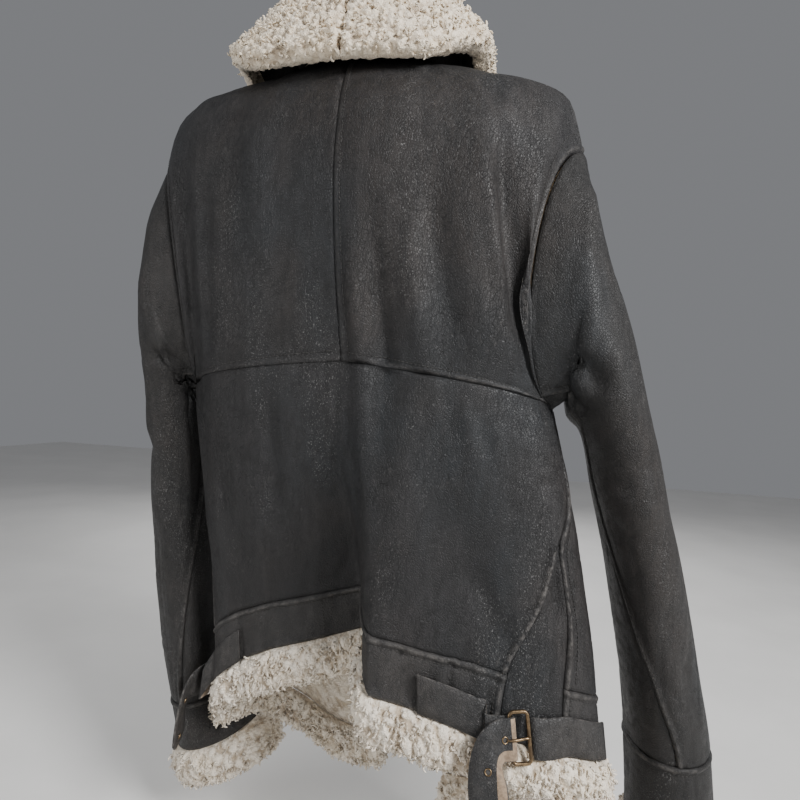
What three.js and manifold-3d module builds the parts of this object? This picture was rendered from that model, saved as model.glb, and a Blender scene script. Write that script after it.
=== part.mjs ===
// A shearling-lined leather jacket hanging open on a plain hanger, in millimetres.
// +X is the wearer's left, +Y the back, +Z up. The origin is the inner top of the hanger's hook.
// The back and front are one surface, point(u, w):
//   u runs from 0 at the centre back to 1 at the left side and 2 at the left front edge,
//   and from 0 to -1 and -2 on the right;
//   w runs from 0 at the neck and shoulder seams to 1 at the cross seam and 2 at the hem.
import * as THREE from 'three';
import Module from 'manifold-3d';
import { mergeVertices } from 'three/addons/utils/BufferGeometryUtils.js';

// Named sizes
const WALL = 8;              // leather with its clipped wool
const SEAM = 0.3;            // gap between two pieces
const HEM_WOOL = 46;         // wool hanging below the leather hem
const CUFF_WOOL = 46;
const COLLAR_WOOL = 14;      // collar's leather with its wool
const BAND_TOP = 1.82;       // w at the top of the hem band
const STRAP_WIDE = 36;
const STRAP_THICK = 2.6;
const ZIP_WIDE = 8.5;
const ZIP_THICK = 2.2;
const HANGER_DEEP = 8;       // half depth of the hanger's arms
const HANGER_TALL = 9;       // half height of them
const HOOK_WIRE = 2;         // radius
const HOOK_BEND = 20;        // radius of the hook's centre line

// Neck and shoulder seams. s runs from the centre back, or the front edge, to the armhole
const NECK_BACK = 0.33;
const NECK_FRONT = 0.42;
const backNeck = [
  { s: 0, x: 0, y: 50, z: -140 },
  { s: 0.17, x: 50, y: 38, z: -139 },
  { s: 0.27, x: 76, y: 12, z: -135 },
  { s: 0.33, x: 85, y: -12, z: -132 },
];
const frontNeck = [
  { s: 0, x: 30, y: -92, z: -216 },
  { s: 0.14, x: 58, y: -80, z: -184 },
  { s: 0.3, x: 79, y: -48, z: -150 },
  { s: 0.42, x: 85, y: -12, z: -132 },
];
const shoulder = [
  { s: 0, x: 85, y: -12, z: -132 },
  { s: 0.3, x: 138, y: -4, z: -144 },
  { s: 0.6, x: 192, y: 0, z: -157 },
  { s: 0.78, x: 222, y: 0, z: -176 },
  { s: 1, x: 242, y: 0, z: -235 },
];

// The centre back line and the two front edges above the cross seam
const centreBack = [
  { w: 0, x: 0, y: 50, z: -140 },
  { w: 0.12, x: 0, y: 79, z: -178 },
  { w: 0.26, x: -1, y: 98, z: -224 },
  { w: 0.44, x: -2, y: 106, z: -284 },
  { w: 0.7, x: -6, y: 101, z: -370 },
  { w: 1, x: -14, y: 88, z: -470 },
];
const frontEdge = [
  { w: 0, leftX: 30, rightX: -30, y: -92, z: -216 },
  { w: 0.3, leftX: 31, rightX: -33, y: -104, z: -300 },
  { w: 0.65, leftX: 28, rightX: -42, y: -108, z: -405 },
  { w: 1, leftX: 20, rightX: -50, y: -106, z: -512 },
];

// Sections below the cross seam
const sections = [
  { w: 1, leftX: 186, leftY: 0, rightX: -223, rightY: 12, backX: -14, backY: 88, edgeLX: 20, edgeRX: -50, edgeLY: -106, edgeRY: -106 },
  { w: 1.15, leftX: 178, leftY: -2, rightX: -236, rightY: 14, backX: -20, backY: 90, edgeLX: 14, edgeRX: -56, edgeLY: -106, edgeRY: -106 },
  { w: 1.4, leftX: 168, leftY: -4, rightX: -255, rightY: 18, backX: -30, backY: 94, edgeLX: 3, edgeRX: -68, edgeLY: -104, edgeRY: -103 },
  { w: 1.7, leftX: 157, leftY: -5, rightX: -274, rightY: 22, backX: -37, backY: 98, edgeLX: -18, edgeRX: -88, edgeLY: -98, edgeRY: -96 },
  { w: 2, leftX: 150, leftY: -6, rightX: -288, rightY: 25, backX: -40, backY: 101, edgeLX: -41, edgeRX: -113, edgeLY: -90, edgeRY: -85 },
];
// Heights of the cross seam and the hem; the fronts drop towards their corners between two shares
const levels = [
  { w: 1, back: -470, left: -500, right: -508, edgeL: -512, edgeR: -512, rise: 1 },
  { w: 2, back: -780, left: -862, right: -852, edgeL: -925, edgeR: -962, rise: 0.8 },
];
const frontDrop = { L: { from: 0.42, to: 0.9 }, R: { from: -0.1, to: 0.9 } };
const SQUARE = 0.9;          // 1 is an ellipse, less is squarer

// The deep trough left of the centre back: the right side of it stands as a steep wall
const trough = { from: -0.05, floor: 0.075, start: 1.02, depth: 76, undercut: 22, lift: 36 };
// Softer folds: where, how wide round the body, over which heights, and how deep
const folds = [
  { u: -0.3, width: 0.13, top: 1.25, bottom: 2.1, depth: -4 },
  { u: 0.52, width: 0.15, top: 1.15, bottom: 2.1, depth: -5 },
  { u: 0.8, width: 0.14, top: 0.3, bottom: 1.1, depth: -6 },
  { u: -0.8, width: 0.14, top: 0.3, bottom: 1.1, depth: -5 },
  { u: 1.55, width: 0.16, top: 1.1, bottom: 2.1, depth: -7 },
  { u: -1.5, width: 0.18, top: 1.0, bottom: 2.1, depth: -8 },
  { u: -1.2, width: 0.1, top: 1.3, bottom: 2.1, depth: -5 },
];

// The side seam down to the point of the gusset, and the gusset's two seams below it
const APEX = 1.42;
const GUSSET_POINT = 0.012;  // how wide the gusset is at its point, as a share round the body
const sideSeam = [
  { w: 1, R: 1, L: 1 },
  { w: 1.14, R: 0.97, L: 1 },
  { w: 1.28, R: 0.85, L: 1 },
  { w: APEX, R: 0.69, L: 0.99 },
];
const gussetSeams = [
  { w: APEX, backR: 0.69, frontR: 0.69, backL: 0.99, frontL: 0.99 },
  { w: 1.58, backR: 0.58, frontR: 0.69, backL: 0.96, frontL: 1.07 },
  { w: BAND_TOP, backR: 0.41, frontR: 0.63, backL: 0.92, frontL: 1.17 },
  { w: 2, backR: 0.37, frontR: 0.59, backL: 0.9, frontL: 1.22 },
];

// Sleeves from the armhole to the cuff's seam: the outer and inner lines, half depth and middle of
// the wool side. The leather lies a wall's thickness outside
const sleeveRows = {
  R: [
    { t: 1, outX: 250, outZ: -280, inX: 238, inZ: -492, half: 64, midY: 2, seam: 158 },
    { t: 2, outX: 260, outZ: -334, inX: 245, inZ: -510, half: 68, midY: -6, seam: 160 },
    { t: 3, outX: 283, outZ: -398, inX: 257, inZ: -521, half: 66, midY: -14, seam: 162 },
    { t: 4, outX: 305, outZ: -471, inX: 266, inZ: -543, half: 63, midY: -22, seam: 165 },
    { t: 5, outX: 326, outZ: -540, inX: 274, inZ: -578, half: 60, midY: -30, seam: 163 },
    { t: 6, outX: 343, outZ: -602, inX: 285, inZ: -620, half: 58, midY: -38, seam: 157 },
    { t: 7, outX: 360, outZ: -666, inX: 299, inZ: -672, half: 56, midY: -46, seam: 145 },
    { t: 8, outX: 376, outZ: -730, inX: 312, inZ: -734, half: 54, midY: -55, seam: 128 },
    { t: 9, outX: 391, outZ: -798, inX: 323, inZ: -800, half: 52, midY: -64, seam: 108 },
    { t: 10, outX: 404, outZ: -870, inX: 332, inZ: -868, half: 52, midY: -70, seam: 92 },
    { t: 11, outX: 413, outZ: -962, inX: 336, inZ: -956, half: 51, midY: -64, seam: 92 },
  ],
  L: [
    { t: 1, outX: 248, outZ: -280, inX: 197, inZ: -494, half: 62, midY: -4, seam: 158 },
    { t: 2, outX: 250, outZ: -334, inX: 206, inZ: -503, half: 66, midY: -12, seam: 160 },
    { t: 3, outX: 249, outZ: -398, inX: 207, inZ: -514, half: 64, midY: -20, seam: 162 },
    { t: 4, outX: 249, outZ: -471, inX: 203, inZ: -536, half: 61, midY: -27, seam: 165 },
    { t: 5, outX: 250, outZ: -540, inX: 197, inZ: -570, half: 58, midY: -34, seam: 163 },
    { t: 6, outX: 251, outZ: -602, inX: 193, inZ: -616, half: 56, midY: -40, seam: 157 },
    { t: 7, outX: 252, outZ: -666, inX: 190, inZ: -670, half: 54, midY: -46, seam: 145 },
    { t: 8, outX: 251, outZ: -734, inX: 186, inZ: -732, half: 52, midY: -52, seam: 128 },
    { t: 9, outX: 243, outZ: -814, inX: 179, inZ: -806, half: 50, midY: -57, seam: 108 },
    { t: 10, outX: 224, outZ: -894, inX: 166, inZ: -886, half: 47, midY: -60, seam: 92 },
    { t: 11, outX: 216, outZ: -962, inX: 128, inZ: -926, half: 43, midY: -62, seam: 92 },
  ],
};
const FRONT_SEAM = 252;      // degrees round the sleeve

// Collar, from the centre back to the front: the fold and the free edge of its leather side
const collarRows = [
  { q: 0, topX: 0, topY: 58, topZ: -74, edgeX: 0, edgeY: 97, edgeZ: -172 },
  { q: 0.25, topX: 62, topY: 44, topZ: -78, edgeX: 86, edgeY: 80, edgeZ: -166 },
  { q: 0.5, topX: 98, topY: -6, topZ: -90, edgeX: 143, edgeY: 10, edgeZ: -125 },
  { q: 0.75, topX: 96, topY: -76, topZ: -122, edgeX: 146, edgeY: -104, edgeZ: -176 },
  { q: 1, topX: 46, topY: -114, topZ: -190, edgeX: 100, edgeY: -134, edgeZ: -280 },
];
const collarSpread = { L: 12, R: -10 };

// Adjusters: straps that lie on the hem, and the buckle. u is on the right side
const adjuster = {
  R: { sewn: 0.158, join: 0.34, buckle: 0.435, keeper: 0.478, end: 1.0, tail: 92 },
  L: { sewn: 0.55, join: 0.8, buckle: 1.03, keeper: 1.14, end: 1.5, tail: 76 },
};

// Points and curves
const add = (a, b) => [a[0] + b[0], a[1] + b[1], a[2] + b[2]];
const sub = (a, b) => [a[0] - b[0], a[1] - b[1], a[2] - b[2]];
const mul = (a, k) => [a[0] * k, a[1] * k, a[2] * k];
const dot = (a, b) => a[0] * b[0] + a[1] * b[1] + a[2] * b[2];
const cross = (a, b) => [a[1] * b[2] - a[2] * b[1], a[2] * b[0] - a[0] * b[2], a[0] * b[1] - a[1] * b[0]];
const unit = (a) => mul(a, 1 / (Math.hypot(...a) || 1));
const lerp = (a, b, t) => a + (b - a) * t;
const mix = (a, b, t) => [lerp(a[0], b[0], t), lerp(a[1], b[1], t), lerp(a[2], b[2], t)];
const smooth = (t) => {
  const c = Math.min(1, Math.max(0, t));
  return c * c * (3 - 2 * c);
};

// A column of a table read between its rows, with no overshoot
function read(rows, key, column, at) {
  const n = rows.length;
  const slope = (i) => (rows[i + 1][column] - rows[i][column]) / (rows[i + 1][key] - rows[i][key]);
  const bend = (i) => {
    if (i === 0) return slope(0);
    if (i === n - 1) return slope(n - 2);
    const a = slope(i - 1);
    const b = slope(i);
    return a * b <= 0 ? 0 : (2 * a * b) / (a + b);
  };
  let i = 0;
  while (i < n - 2 && at > rows[i + 1][key]) i += 1;
  const h = rows[i + 1][key] - rows[i][key];
  const t = (at - rows[i][key]) / h;
  if (t <= 0) return rows[i][column] + bend(i) * (at - rows[i][key]);
  if (t >= 1) return rows[i + 1][column] + bend(i + 1) * (at - rows[i + 1][key]);
  const t2 = t * t;
  const t3 = t2 * t;
  return rows[i][column] * (2 * t3 - 3 * t2 + 1) + rows[i + 1][column] * (3 * t2 - 2 * t3)
    + h * (bend(i) * (t3 - 2 * t2 + t) + bend(i + 1) * (t3 - t2));
}
const readPoint = (rows, key, at, names = ['x', 'y', 'z']) => names.map((name) => read(rows, key, name, at));

// The body below the cross seam
function troughShare(u) {
  if (u <= trough.from) return 0;
  if (u < trough.floor) return smooth((u - trough.from) / (trough.floor - trough.from));
  return u >= 1 ? 0 : ((1 - u) / (1 - trough.floor)) ** 0.85;
}

function lowerLevel(u, row) {
  const side = u >= 0 ? row.left : row.right;
  const edge = u >= 0 ? row.edgeL : row.edgeR;
  const a = Math.abs(u);
  if (a <= 1) return lerp(row.back, side, a ** row.rise);
  const drop = u >= 0 ? frontDrop.L : frontDrop.R;
  const start = smooth(-drop.from / (drop.to - drop.from));
  return lerp(side, edge, (smooth((a - 1 - drop.from) / (drop.to - drop.from)) - start) / (1 - start));
}

function softFold(u, w) {
  let depth = 0;
  for (const fold of folds) {
    const across = Math.max(0, 1 - ((u - fold.u) / fold.width) ** 2) ** 2;
    const down = smooth((w - fold.top) / 0.25) * smooth((fold.bottom - w) / 0.1);
    depth += fold.depth * across * down;
  }
  return depth;
}

function lowerPoint(u, w) {
  const left = u >= 0;
  const a = Math.abs(u);
  const sideX = read(sections, 'w', left ? 'leftX' : 'rightX', w);
  const sideY = read(sections, 'w', left ? 'leftY' : 'rightY', w);
  const turn = (Math.PI / 2) * (a <= 1 ? a : 2 - a);
  const across = Math.sin(turn) ** SQUARE;
  const deep = Math.max(0, Math.cos(turn)) ** SQUARE;
  const z = lerp(lowerLevel(u, levels[0]), lowerLevel(u, levels[1]), w - 1);
  if (a > 1) {
    const edgeX = read(sections, 'w', left ? 'edgeLX' : 'edgeRX', w);
    const edgeY = read(sections, 'w', left ? 'edgeLY' : 'edgeRY', w);
    return [lerp(edgeX, sideX, across), lerp(sideY, edgeY, deep) - softFold(u, w), z];
  }
  const backX = read(sections, 'w', 'backX', w);
  const backY = read(sections, 'w', 'backY', w);
  const grow = smooth((w - trough.start) / 1.1) ** 0.8;
  const share = troughShare(u) * grow;
  const under = trough.undercut * grow * smooth((u - trough.from) / 0.13) * (1 - smooth((u - 0.07) / 0.3));
  return [
    lerp(backX, sideX, across) - under,
    lerp(sideY, backY, deep) - trough.depth * share + softFold(u, w),
    z + trough.lift * share * (w - 1),
  ];
}

// Armhole: a ring from the shoulder's end down to the armpit, which is the end of the cross seam
function armhole(sign, front, w) {
  const top = [242 * sign, 0, -235];
  const bottom = lowerPoint(sign, 1);
  const down = (1 - Math.cos(Math.PI * w)) / 2;
  const round = Math.sin(Math.PI * w);
  const inward = sign > 0 ? 20 : 38;
  const p = mix(top, bottom, down);
  return [p[0] - sign * inward * round, p[1] + (front ? -60 : 58) * round, p[2]];
}

// The body above the cross seam: a patch filled in between its four edges
function upperPoint(sign, front, s, w) {
  const rows = front ? frontNeck : backNeck;
  const neck = front ? NECK_FRONT : NECK_BACK;
  const topAt = (k) => {
    const p = k <= neck ? readPoint(rows, 's', k) : readPoint(shoulder, 's', (k - neck) / (1 - neck));
    return [p[0] * sign, p[1], p[2]];
  };
  const middle = (v) => {
    if (!front) return readPoint(centreBack, 'w', v);
    return readPoint(frontEdge, 'w', v, [sign > 0 ? 'leftX' : 'rightX', 'y', 'z']);
  };
  const low = (k) => lowerPoint(front ? sign * (2 - k) : sign * k, 1);
  const A = middle(w);
  const E = armhole(sign, front, w);
  const T = topAt(s);
  const K = low(s);
  const a0 = middle(0);
  const a1 = middle(1);
  const e0 = armhole(sign, front, 0);
  const e1 = armhole(sign, front, 1);
  const blend = (i, h, g) => (1 - h) * A[i] + h * E[i]
    + (1 - g) * (T[i] - (1 - h) * a0[i] - h * e0[i]) + g * (K[i] - (1 - h) * a1[i] - h * e1[i]);
  const bow = 1 - Math.max(0, Math.cos((Math.PI / 2) * s)) ** SQUARE;
  const crown = 1 - (1 - w) ** (front ? lerp(3, 10, smooth((s - 0.2) / 0.3)) : 10);
  const y = blend(1, bow, crown) + (front ? -1 : 1) * softFold(front ? sign * (2 - s) : sign * s, w) * Math.sin(Math.PI * w);
  return [blend(0, s, w), y, blend(2, s, w)];
}

function point(u, w) {
  if (w >= 1) return lowerPoint(u, w);
  const a = Math.abs(u);
  const sign = u >= 0 ? 1 : -1;
  return a <= 1 ? upperPoint(sign, false, a, w) : upperPoint(sign, true, 2 - a, w);
}

// Outward direction of the body's surface
function rawNormal(u, w) {
  const d = 0.012;
  const a = Math.abs(u);
  const split = w < 1 && Math.abs(a - 1) < 0.02;
  const sign = u >= 0 ? 1 : -1;
  let u0 = u - d;
  let u1 = u + d;
  if (split) {
    const inner = a <= 1;
    u0 = sign * (inner ? 1 - 2 * d : 1 + 1e-4);
    u1 = sign * (inner ? 1 - 1e-4 : 1 + 2 * d);
    if (sign < 0) [u0, u1] = [u1, u0];
  }
  u0 = Math.max(-2, u0);
  u1 = Math.min(2, u1);
  const w0 = Math.max(0, w - d);
  const w1 = Math.min(2, w + d);
  const across = sub(point(Math.max(u0, u1), w), point(Math.min(u0, u1), w));
  const down = sub(point(u, w1), point(u, w0));
  return unit(cross(across, down));
}

function armholeNormal(sign, front, w) {
  const p = armhole(sign, front, w);
  const middle = mix([242 * sign, 0, -235], lowerPoint(sign, 1), 0.5);
  const tip = smooth((w - 0.7) / 0.3);
  return unit([sign * (25 * (1 + Math.cos(Math.PI * w)) + 110 * tip), (p[1] - middle[1]) * 2.1, p[2] - middle[2]]);
}

// The wall thins into the armpit, where five pieces meet
const armpitWall = (u, w) => 1 - 0.6 * smooth(1 - Math.hypot((Math.abs(u) - 1) / 0.2, (w - 1) / 0.3));

function normal(u, w) {
  const a = Math.abs(u);
  const sign = u >= 0 ? 1 : -1;
  if (w <= 1 && Math.abs(a - 1) < 1e-6) return armholeNormal(sign, false, w);
  if (w < 1e-6) {
    const back = a <= 1;
    const s = back ? a : 2 - a;
    const neck = back ? NECK_BACK : NECK_FRONT;
    if (s >= neck - 1e-6) {
      const k = (s - neck) / (1 - neck);
      if (k > 1 - 1e-6) return armholeNormal(sign, false, 0);
      const ub = sign * (NECK_BACK + (1 - NECK_BACK) * k);
      const uf = sign * (2 - NECK_FRONT - (1 - NECK_FRONT) * k);
      return unit(add(rawNormal(ub, 0), rawNormal(uf, 0)));
    }
  }
  // The surface turns sharply beside the armpit, so its direction is steadied there
  const steady = smooth((Math.min(a, 2 - a) - 0.8) / 0.13) * smooth((w - 0.55) / 0.3) * (w < 1 ? 1 : 0);
  const side = [sign * 0.75, a < 1 ? 0.65 : -0.65, 0];
  return unit(mix(rawNormal(u, w), side, steady));
}

// A closed wall from a grid of outer points and their outward directions
function flatten(outer, inner, wrap) {
  const rows = outer.length;
  const cols = outer[0].length;
  const positions = [];
  for (const grid of [outer, inner]) for (const row of grid) for (const p of row) positions.push(...p);
  const at = (side, r, c) => side * rows * cols + r * cols + (c % cols);
  const index = [];
  const span = (i, j) => Math.hypot(...[0, 1, 2].map((k) => positions[3 * i + k] - positions[3 * j + k]));
  const quad = (a, b, c, d) => {
    if (span(a, c) <= span(b, d)) index.push(a, b, c, a, c, d);
    else index.push(a, b, d, b, c, d);
  };
  const across = wrap ? cols : cols - 1;
  for (let r = 0; r < rows - 1; r += 1) {
    for (let c = 0; c < across; c += 1) {
      quad(at(0, r, c), at(0, r + 1, c), at(0, r + 1, c + 1), at(0, r, c + 1));
      quad(at(1, r, c), at(1, r, c + 1), at(1, r + 1, c + 1), at(1, r + 1, c));
    }
  }
  for (let c = 0; c < across; c += 1) {
    quad(at(0, 0, c), at(0, 0, c + 1), at(1, 0, c + 1), at(1, 0, c));
    const r = rows - 1;
    quad(at(0, r, c), at(1, r, c), at(1, r, c + 1), at(0, r, c + 1));
  }
  if (!wrap) {
    for (let r = 0; r < rows - 1; r += 1) {
      quad(at(0, r, 0), at(1, r, 0), at(1, r + 1, 0), at(0, r + 1, 0));
      const c = cols - 1;
      quad(at(0, r, c), at(0, r + 1, c), at(1, r + 1, c), at(1, r, c));
    }
  }
  return solid(positions, index);
}

function solid(positions, index) {
  let volume = 0;
  const p = (i) => [positions[3 * i], positions[3 * i + 1], positions[3 * i + 2]];
  for (let i = 0; i < index.length; i += 3) volume += dot(p(index[i]), cross(p(index[i + 1]), p(index[i + 2])));
  const turned = [];
  for (let i = 0; i < index.length; i += 3) {
    if (volume > 0) turned.push(index[i], index[i + 1], index[i + 2]);
    else turned.push(index[i], index[i + 2], index[i + 1]);
  }
  const geometry = new THREE.BufferGeometry();
  geometry.setAttribute('position', new THREE.Float32BufferAttribute(positions, 3));
  geometry.setIndex(turned);
  geometry.computeVertexNormals();
  return geometry;
}

// Pull a grid's edges in by half a seam
function inset(grid, wrap) {
  const rows = grid.length;
  const cols = grid[0].length;
  const moved = grid.map((row) => row.map((v) => ({ ...v })));
  const pull = (r, c, r2, c2) => {
    const step = mul(unit(sub(grid[r2][c2].p, grid[r][c].p)), SEAM / 2);
    moved[r][c].p = add(moved[r][c].p, step);
  };
  for (let c = 0; c < cols; c += 1) {
    pull(0, c, 1, c);
    pull(rows - 1, c, rows - 2, c);
  }
  if (!wrap) {
    for (let r = 0; r < rows; r += 1) {
      pull(r, 0, r, 1);
      pull(r, cols - 1, r, cols - 2);
    }
  }
  return moved;
}

function wall(grid, thick = WALL, wrap = false) {
  const g = inset(grid, wrap);
  const outer = g.map((row) => row.map((v) => v.p));
  const inner = g.map((row) => row.map((v) => sub(v.p, mul(v.n, thick * (v.thin ?? 1)))));
  return flatten(outer, inner, wrap);
}

// Materials
const tone = (color, roughness, metalness = 0) => new THREE.MeshStandardMaterial({ color, roughness, metalness });
const LEATHER = tone('#3a3838', 0.55);
const WOOL = tone('#d9cdb8', 0.95);
const BRASS = tone('#6d5a3c', 0.4, 0.9);
const STEEL = tone('#9a9a98', 0.3, 1);
const TAPE = tone('#1d1c1c', 0.85);
const WOOD = tone('#8a6a48', 0.5);

const jacket = new THREE.Group();
const put = (name, geometry, material) => {
  const mesh = new THREE.Mesh(geometry, material);
  mesh.name = name;
  jacket.add(mesh);
};

// Rows and columns shared by neighbouring pieces
const upperRows = [0, 0.04, 0.1, 0.17, 0.26, 0.36, 0.48, 0.6, 0.73, 0.87, 1];
const lowerRows = [1, 1.07, 1.14, 1.23, 1.32, 1.42, 1.52, 1.62, 1.72, BAND_TOP];
const bandRows = [BAND_TOP, 1.91, 2];
const shoulderSteps = [0, 0.14, 0.28, 0.42, 0.56, 0.68, 0.79, 0.9, 1];
const onBack = shoulderSteps.map((k) => NECK_BACK + (1 - NECK_BACK) * k);
const leftCols = [0, 0.02, 0.04, 0.06, 0.08, 0.12, 0.17, 0.25, ...onBack];
const rightCols = [0, -0.03, -0.06, -0.11, -0.17, -0.25, ...onBack.map((s) => -s)];
const frontCols = [0, 0.1, 0.2, 0.31, ...shoulderSteps.map((k) => NECK_FRONT + (1 - NECK_FRONT) * k)];
const vertex = (u, w) => ({ p: point(u, w), n: normal(u, w), thin: armpitWall(u, w) });

// Yokes
put('back_yoke_left', wall(upperRows.map((w) => leftCols.map((u) => vertex(u, w)))), LEATHER);
put('back_yoke_right', wall(upperRows.map((w) => [...rightCols].reverse().map((u) => vertex(u, w)))), LEATHER);

// Lower back, hem band and gussets
const seamAt = (w, name) => (w < APEX ? read(sideSeam, 'w', name.slice(-1), w) : read(gussetSeams, 'w', name, w));
const backCols = [...[...rightCols].reverse(), ...leftCols.slice(1)];
const backVertex = (u, w) => vertex(u * seamAt(w, u < 0 ? 'backR' : 'backL'), w);
put('lower_back', wall(lowerRows.map((w) => backCols.map((u) => backVertex(u, w)))), LEATHER);
put('hem_band_back', wall(bandRows.map((w) => backCols.map((u) => backVertex(u, w)))), LEATHER);
const gussetRows = [...lowerRows.filter((w) => w >= APEX), ...bandRows.slice(1)];
const gussetSteps = [0, 0.33, 0.67, 1];
for (const [name, sign, low, high] of [['right', -1, 'backR', 'frontR'], ['left', 1, 'backL', 'frontL']]) {
  const grid = gussetRows.map((w) => gussetSteps.map((k) => {
    const a = seamAt(w, low);
    const b = Math.max(seamAt(w, high), a + GUSSET_POINT);
    return vertex(sign * lerp(a, b, k), w);
  }));
  put(`side_gusset_${name}`, wall(grid), LEATHER);
}

// Fronts, their hem bands
const frontVertex = (sign, s, w) => {
  if (w <= 1) {
    const v = vertex(sign * (2 - s), w);
    if (s === 1 && w < 1) return { p: armhole(sign, true, w), n: armholeNormal(sign, true, w), thin: armpitWall(1, w) };
    return v;
  }
  let side = seamAt(w, sign < 0 ? 'frontR' : 'frontL');
  if (w === APEX) side += GUSSET_POINT;
  return vertex(sign * lerp(2, side, s), w);
};
for (const [name, sign] of [['right', -1], ['left', 1]]) {
  const rows = [...upperRows, ...lowerRows.slice(1)];
  put(`front_${name}`, wall(rows.map((w) => frontCols.map((s) => frontVertex(sign, s, w)))), LEATHER);
  put(`hem_band_${name}`, wall(bandRows.map((w) => frontCols.map((s) => frontVertex(sign, s, w)))), LEATHER);
}

// Sleeves: one grid from the armhole to the end of the cuff, cut into its pieces
const ringW = [...upperRows.map((w) => ({ w, front: false })), ...[...upperRows].slice(1, -1).reverse().map((w) => ({ w, front: true }))];
const ringAngle = ringW.map(({ w, front }) => (front ? 360 - 180 * w : 180 * w));
const BACK_SEAM_COL = 9;
const FRONT_SEAM_COL = ringAngle.findIndex((a) => Math.abs(a - FRONT_SEAM) < 1);
function turnAt(angle, seam) {
  const start = ringAngle[BACK_SEAM_COL];
  if (angle <= start) return (angle / start) * seam;
  if (angle <= FRONT_SEAM) return lerp(seam, FRONT_SEAM, (angle - start) / (FRONT_SEAM - start));
  return angle;
}
function sleeveGrid(side) {
  const sign = side === 'L' ? 1 : -1;
  const rows = sleeveRows[side];
  const grid = [ringW.map(({ w, front }) => armhole(sign, front, w))];
  for (const row of rows) {
    grid.push(ringAngle.map((angle) => {
      const turn = THREE.MathUtils.degToRad(turnAt(angle, row.seam));
      const c = Math.cos(turn);
      return [
        sign * lerp(row.inX, row.outX, (1 + c) / 2),
        row.midY + row.half * Math.sin(turn),
        lerp(row.inZ, row.outZ, (1 + c) / 2),
      ];
    }));
  }
  const count = ringAngle.length;
  return grid.map((ring, r) => ring.map((p, c) => {
    if (r === 0) {
      const { w, front } = ringW[c];
      const n = armholeNormal(sign, front, w);
      return { p: add(p, [sign * 1.1, 0, 0.4 * w]), n, thin: armpitWall(1, w) };
    }
    const next = grid[Math.min(r + 1, grid.length - 1)][c];
    const before = grid[r - 1][c];
    const around = sub(ring[(c + 1) % count], ring[(c + count - 1) % count]);
    const n = unit(mul(cross(around, sub(next, before)), -sign));
    return { p: add(p, mul(n, r === 1 ? WALL / 2 : WALL)), n };
  }));
}
const WOOL_OUTLINE_REACH = 46;
const woolOutline = [
  [-2, 1.2], [4, 5], [8, 14], [8, 28], [4, 40], [-4, 46], [-12, 42], [-16, 30], [-17, 14], [-12, 1.2],
];
// A rounded roll of wool along an edge. Each station has a point, an outward and a downward direction
function woolRoll(stations, reach, wrap) {
  const rings = stations.map(({ p, n, d }) => (
    woolOutline.map(([a, b]) => add(p, add(mul(n, a), mul(d, (b * reach) / WOOL_OUTLINE_REACH))))
  ));
  const cols = woolOutline.length;
  const positions = rings.flat(2);
  const index = [];
  const count = rings.length;
  const spans = wrap ? count : count - 1;
  for (let r = 0; r < spans; r += 1) {
    for (let c = 0; c < cols; c += 1) {
      const a = r * cols + c;
      const b = r * cols + ((c + 1) % cols);
      const e = ((r + 1) % count) * cols + c;
      const f = ((r + 1) % count) * cols + ((c + 1) % cols);
      index.push(a, b, f, a, f, e);
    }
  }
  if (!wrap) {
    for (let c = 1; c < cols - 1; c += 1) {
      index.push(0, c + 1, c);
      const o = (count - 1) * cols;
      index.push(o, o + c, o + c + 1);
    }
  }
  return solid(positions, index);
}
for (const [side, name] of [['L', 'left'], ['R', 'right']]) {
  const grid = sleeveGrid(side);
  const arm = grid.slice(0, 11);
  const cuff = grid.slice(10);
  const outerCols = [];
  for (let c = FRONT_SEAM_COL; c <= ringAngle.length + BACK_SEAM_COL; c += 1) outerCols.push(c % ringAngle.length);
  const innerCols = [];
  for (let c = BACK_SEAM_COL; c <= FRONT_SEAM_COL; c += 1) innerCols.push(c);
  put(`sleeve_top_${name}`, wall(arm.map((row) => outerCols.map((c) => row[c]))), LEATHER);
  put(`sleeve_under_${name}`, wall(arm.map((row) => innerCols.map((c) => row[c]))), LEATHER);
  put(`cuff_${name}`, wall(cuff, WALL, true), LEATHER);
  const last = grid[grid.length - 1];
  const before = grid[grid.length - 2];
  const stations = last.map((v, c) => {
    const d = unit(sub(v.p, before[c].p));
    return { p: sub(v.p, mul(d, side === 'R' ? 0.8 : 0)), n: v.n, d };
  });
  put(`cuff_wool_${name}`, woolRoll(stations, CUFF_WOOL, true), WOOL);
}

// Wool below the hem, in the same three stretches as the band
const hemStation = (v, up) => ({ p: v.p, n: v.n, d: unit(add(unit(sub(v.p, up.p)), [0, 0, -1])) });
const backHem = backCols.map((u) => hemStation(backVertex(u, 2), backVertex(u, 1.9)));
put('hem_wool_back', woolRoll(backHem, HEM_WOOL, false), WOOL);
for (const [name, sign, low, high] of [['right', -1, 'backR', 'frontR'], ['left', 1, 'backL', 'frontL']]) {
  const list = frontCols.map((s) => hemStation(frontVertex(sign, s, 2), frontVertex(sign, s, 1.9)));
  const steps = [0.67, 0.33, 0.004];
  for (const k of steps) {
    const u = (w) => sign * lerp(seamAt(w, low), seamAt(w, high), k);
    list.push(hemStation(vertex(u(2), 2), vertex(u(1.9), 1.9)));
  }
  put(`hem_wool_${name}`, woolRoll(list, HEM_WOOL, false), WOOL);
}

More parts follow.
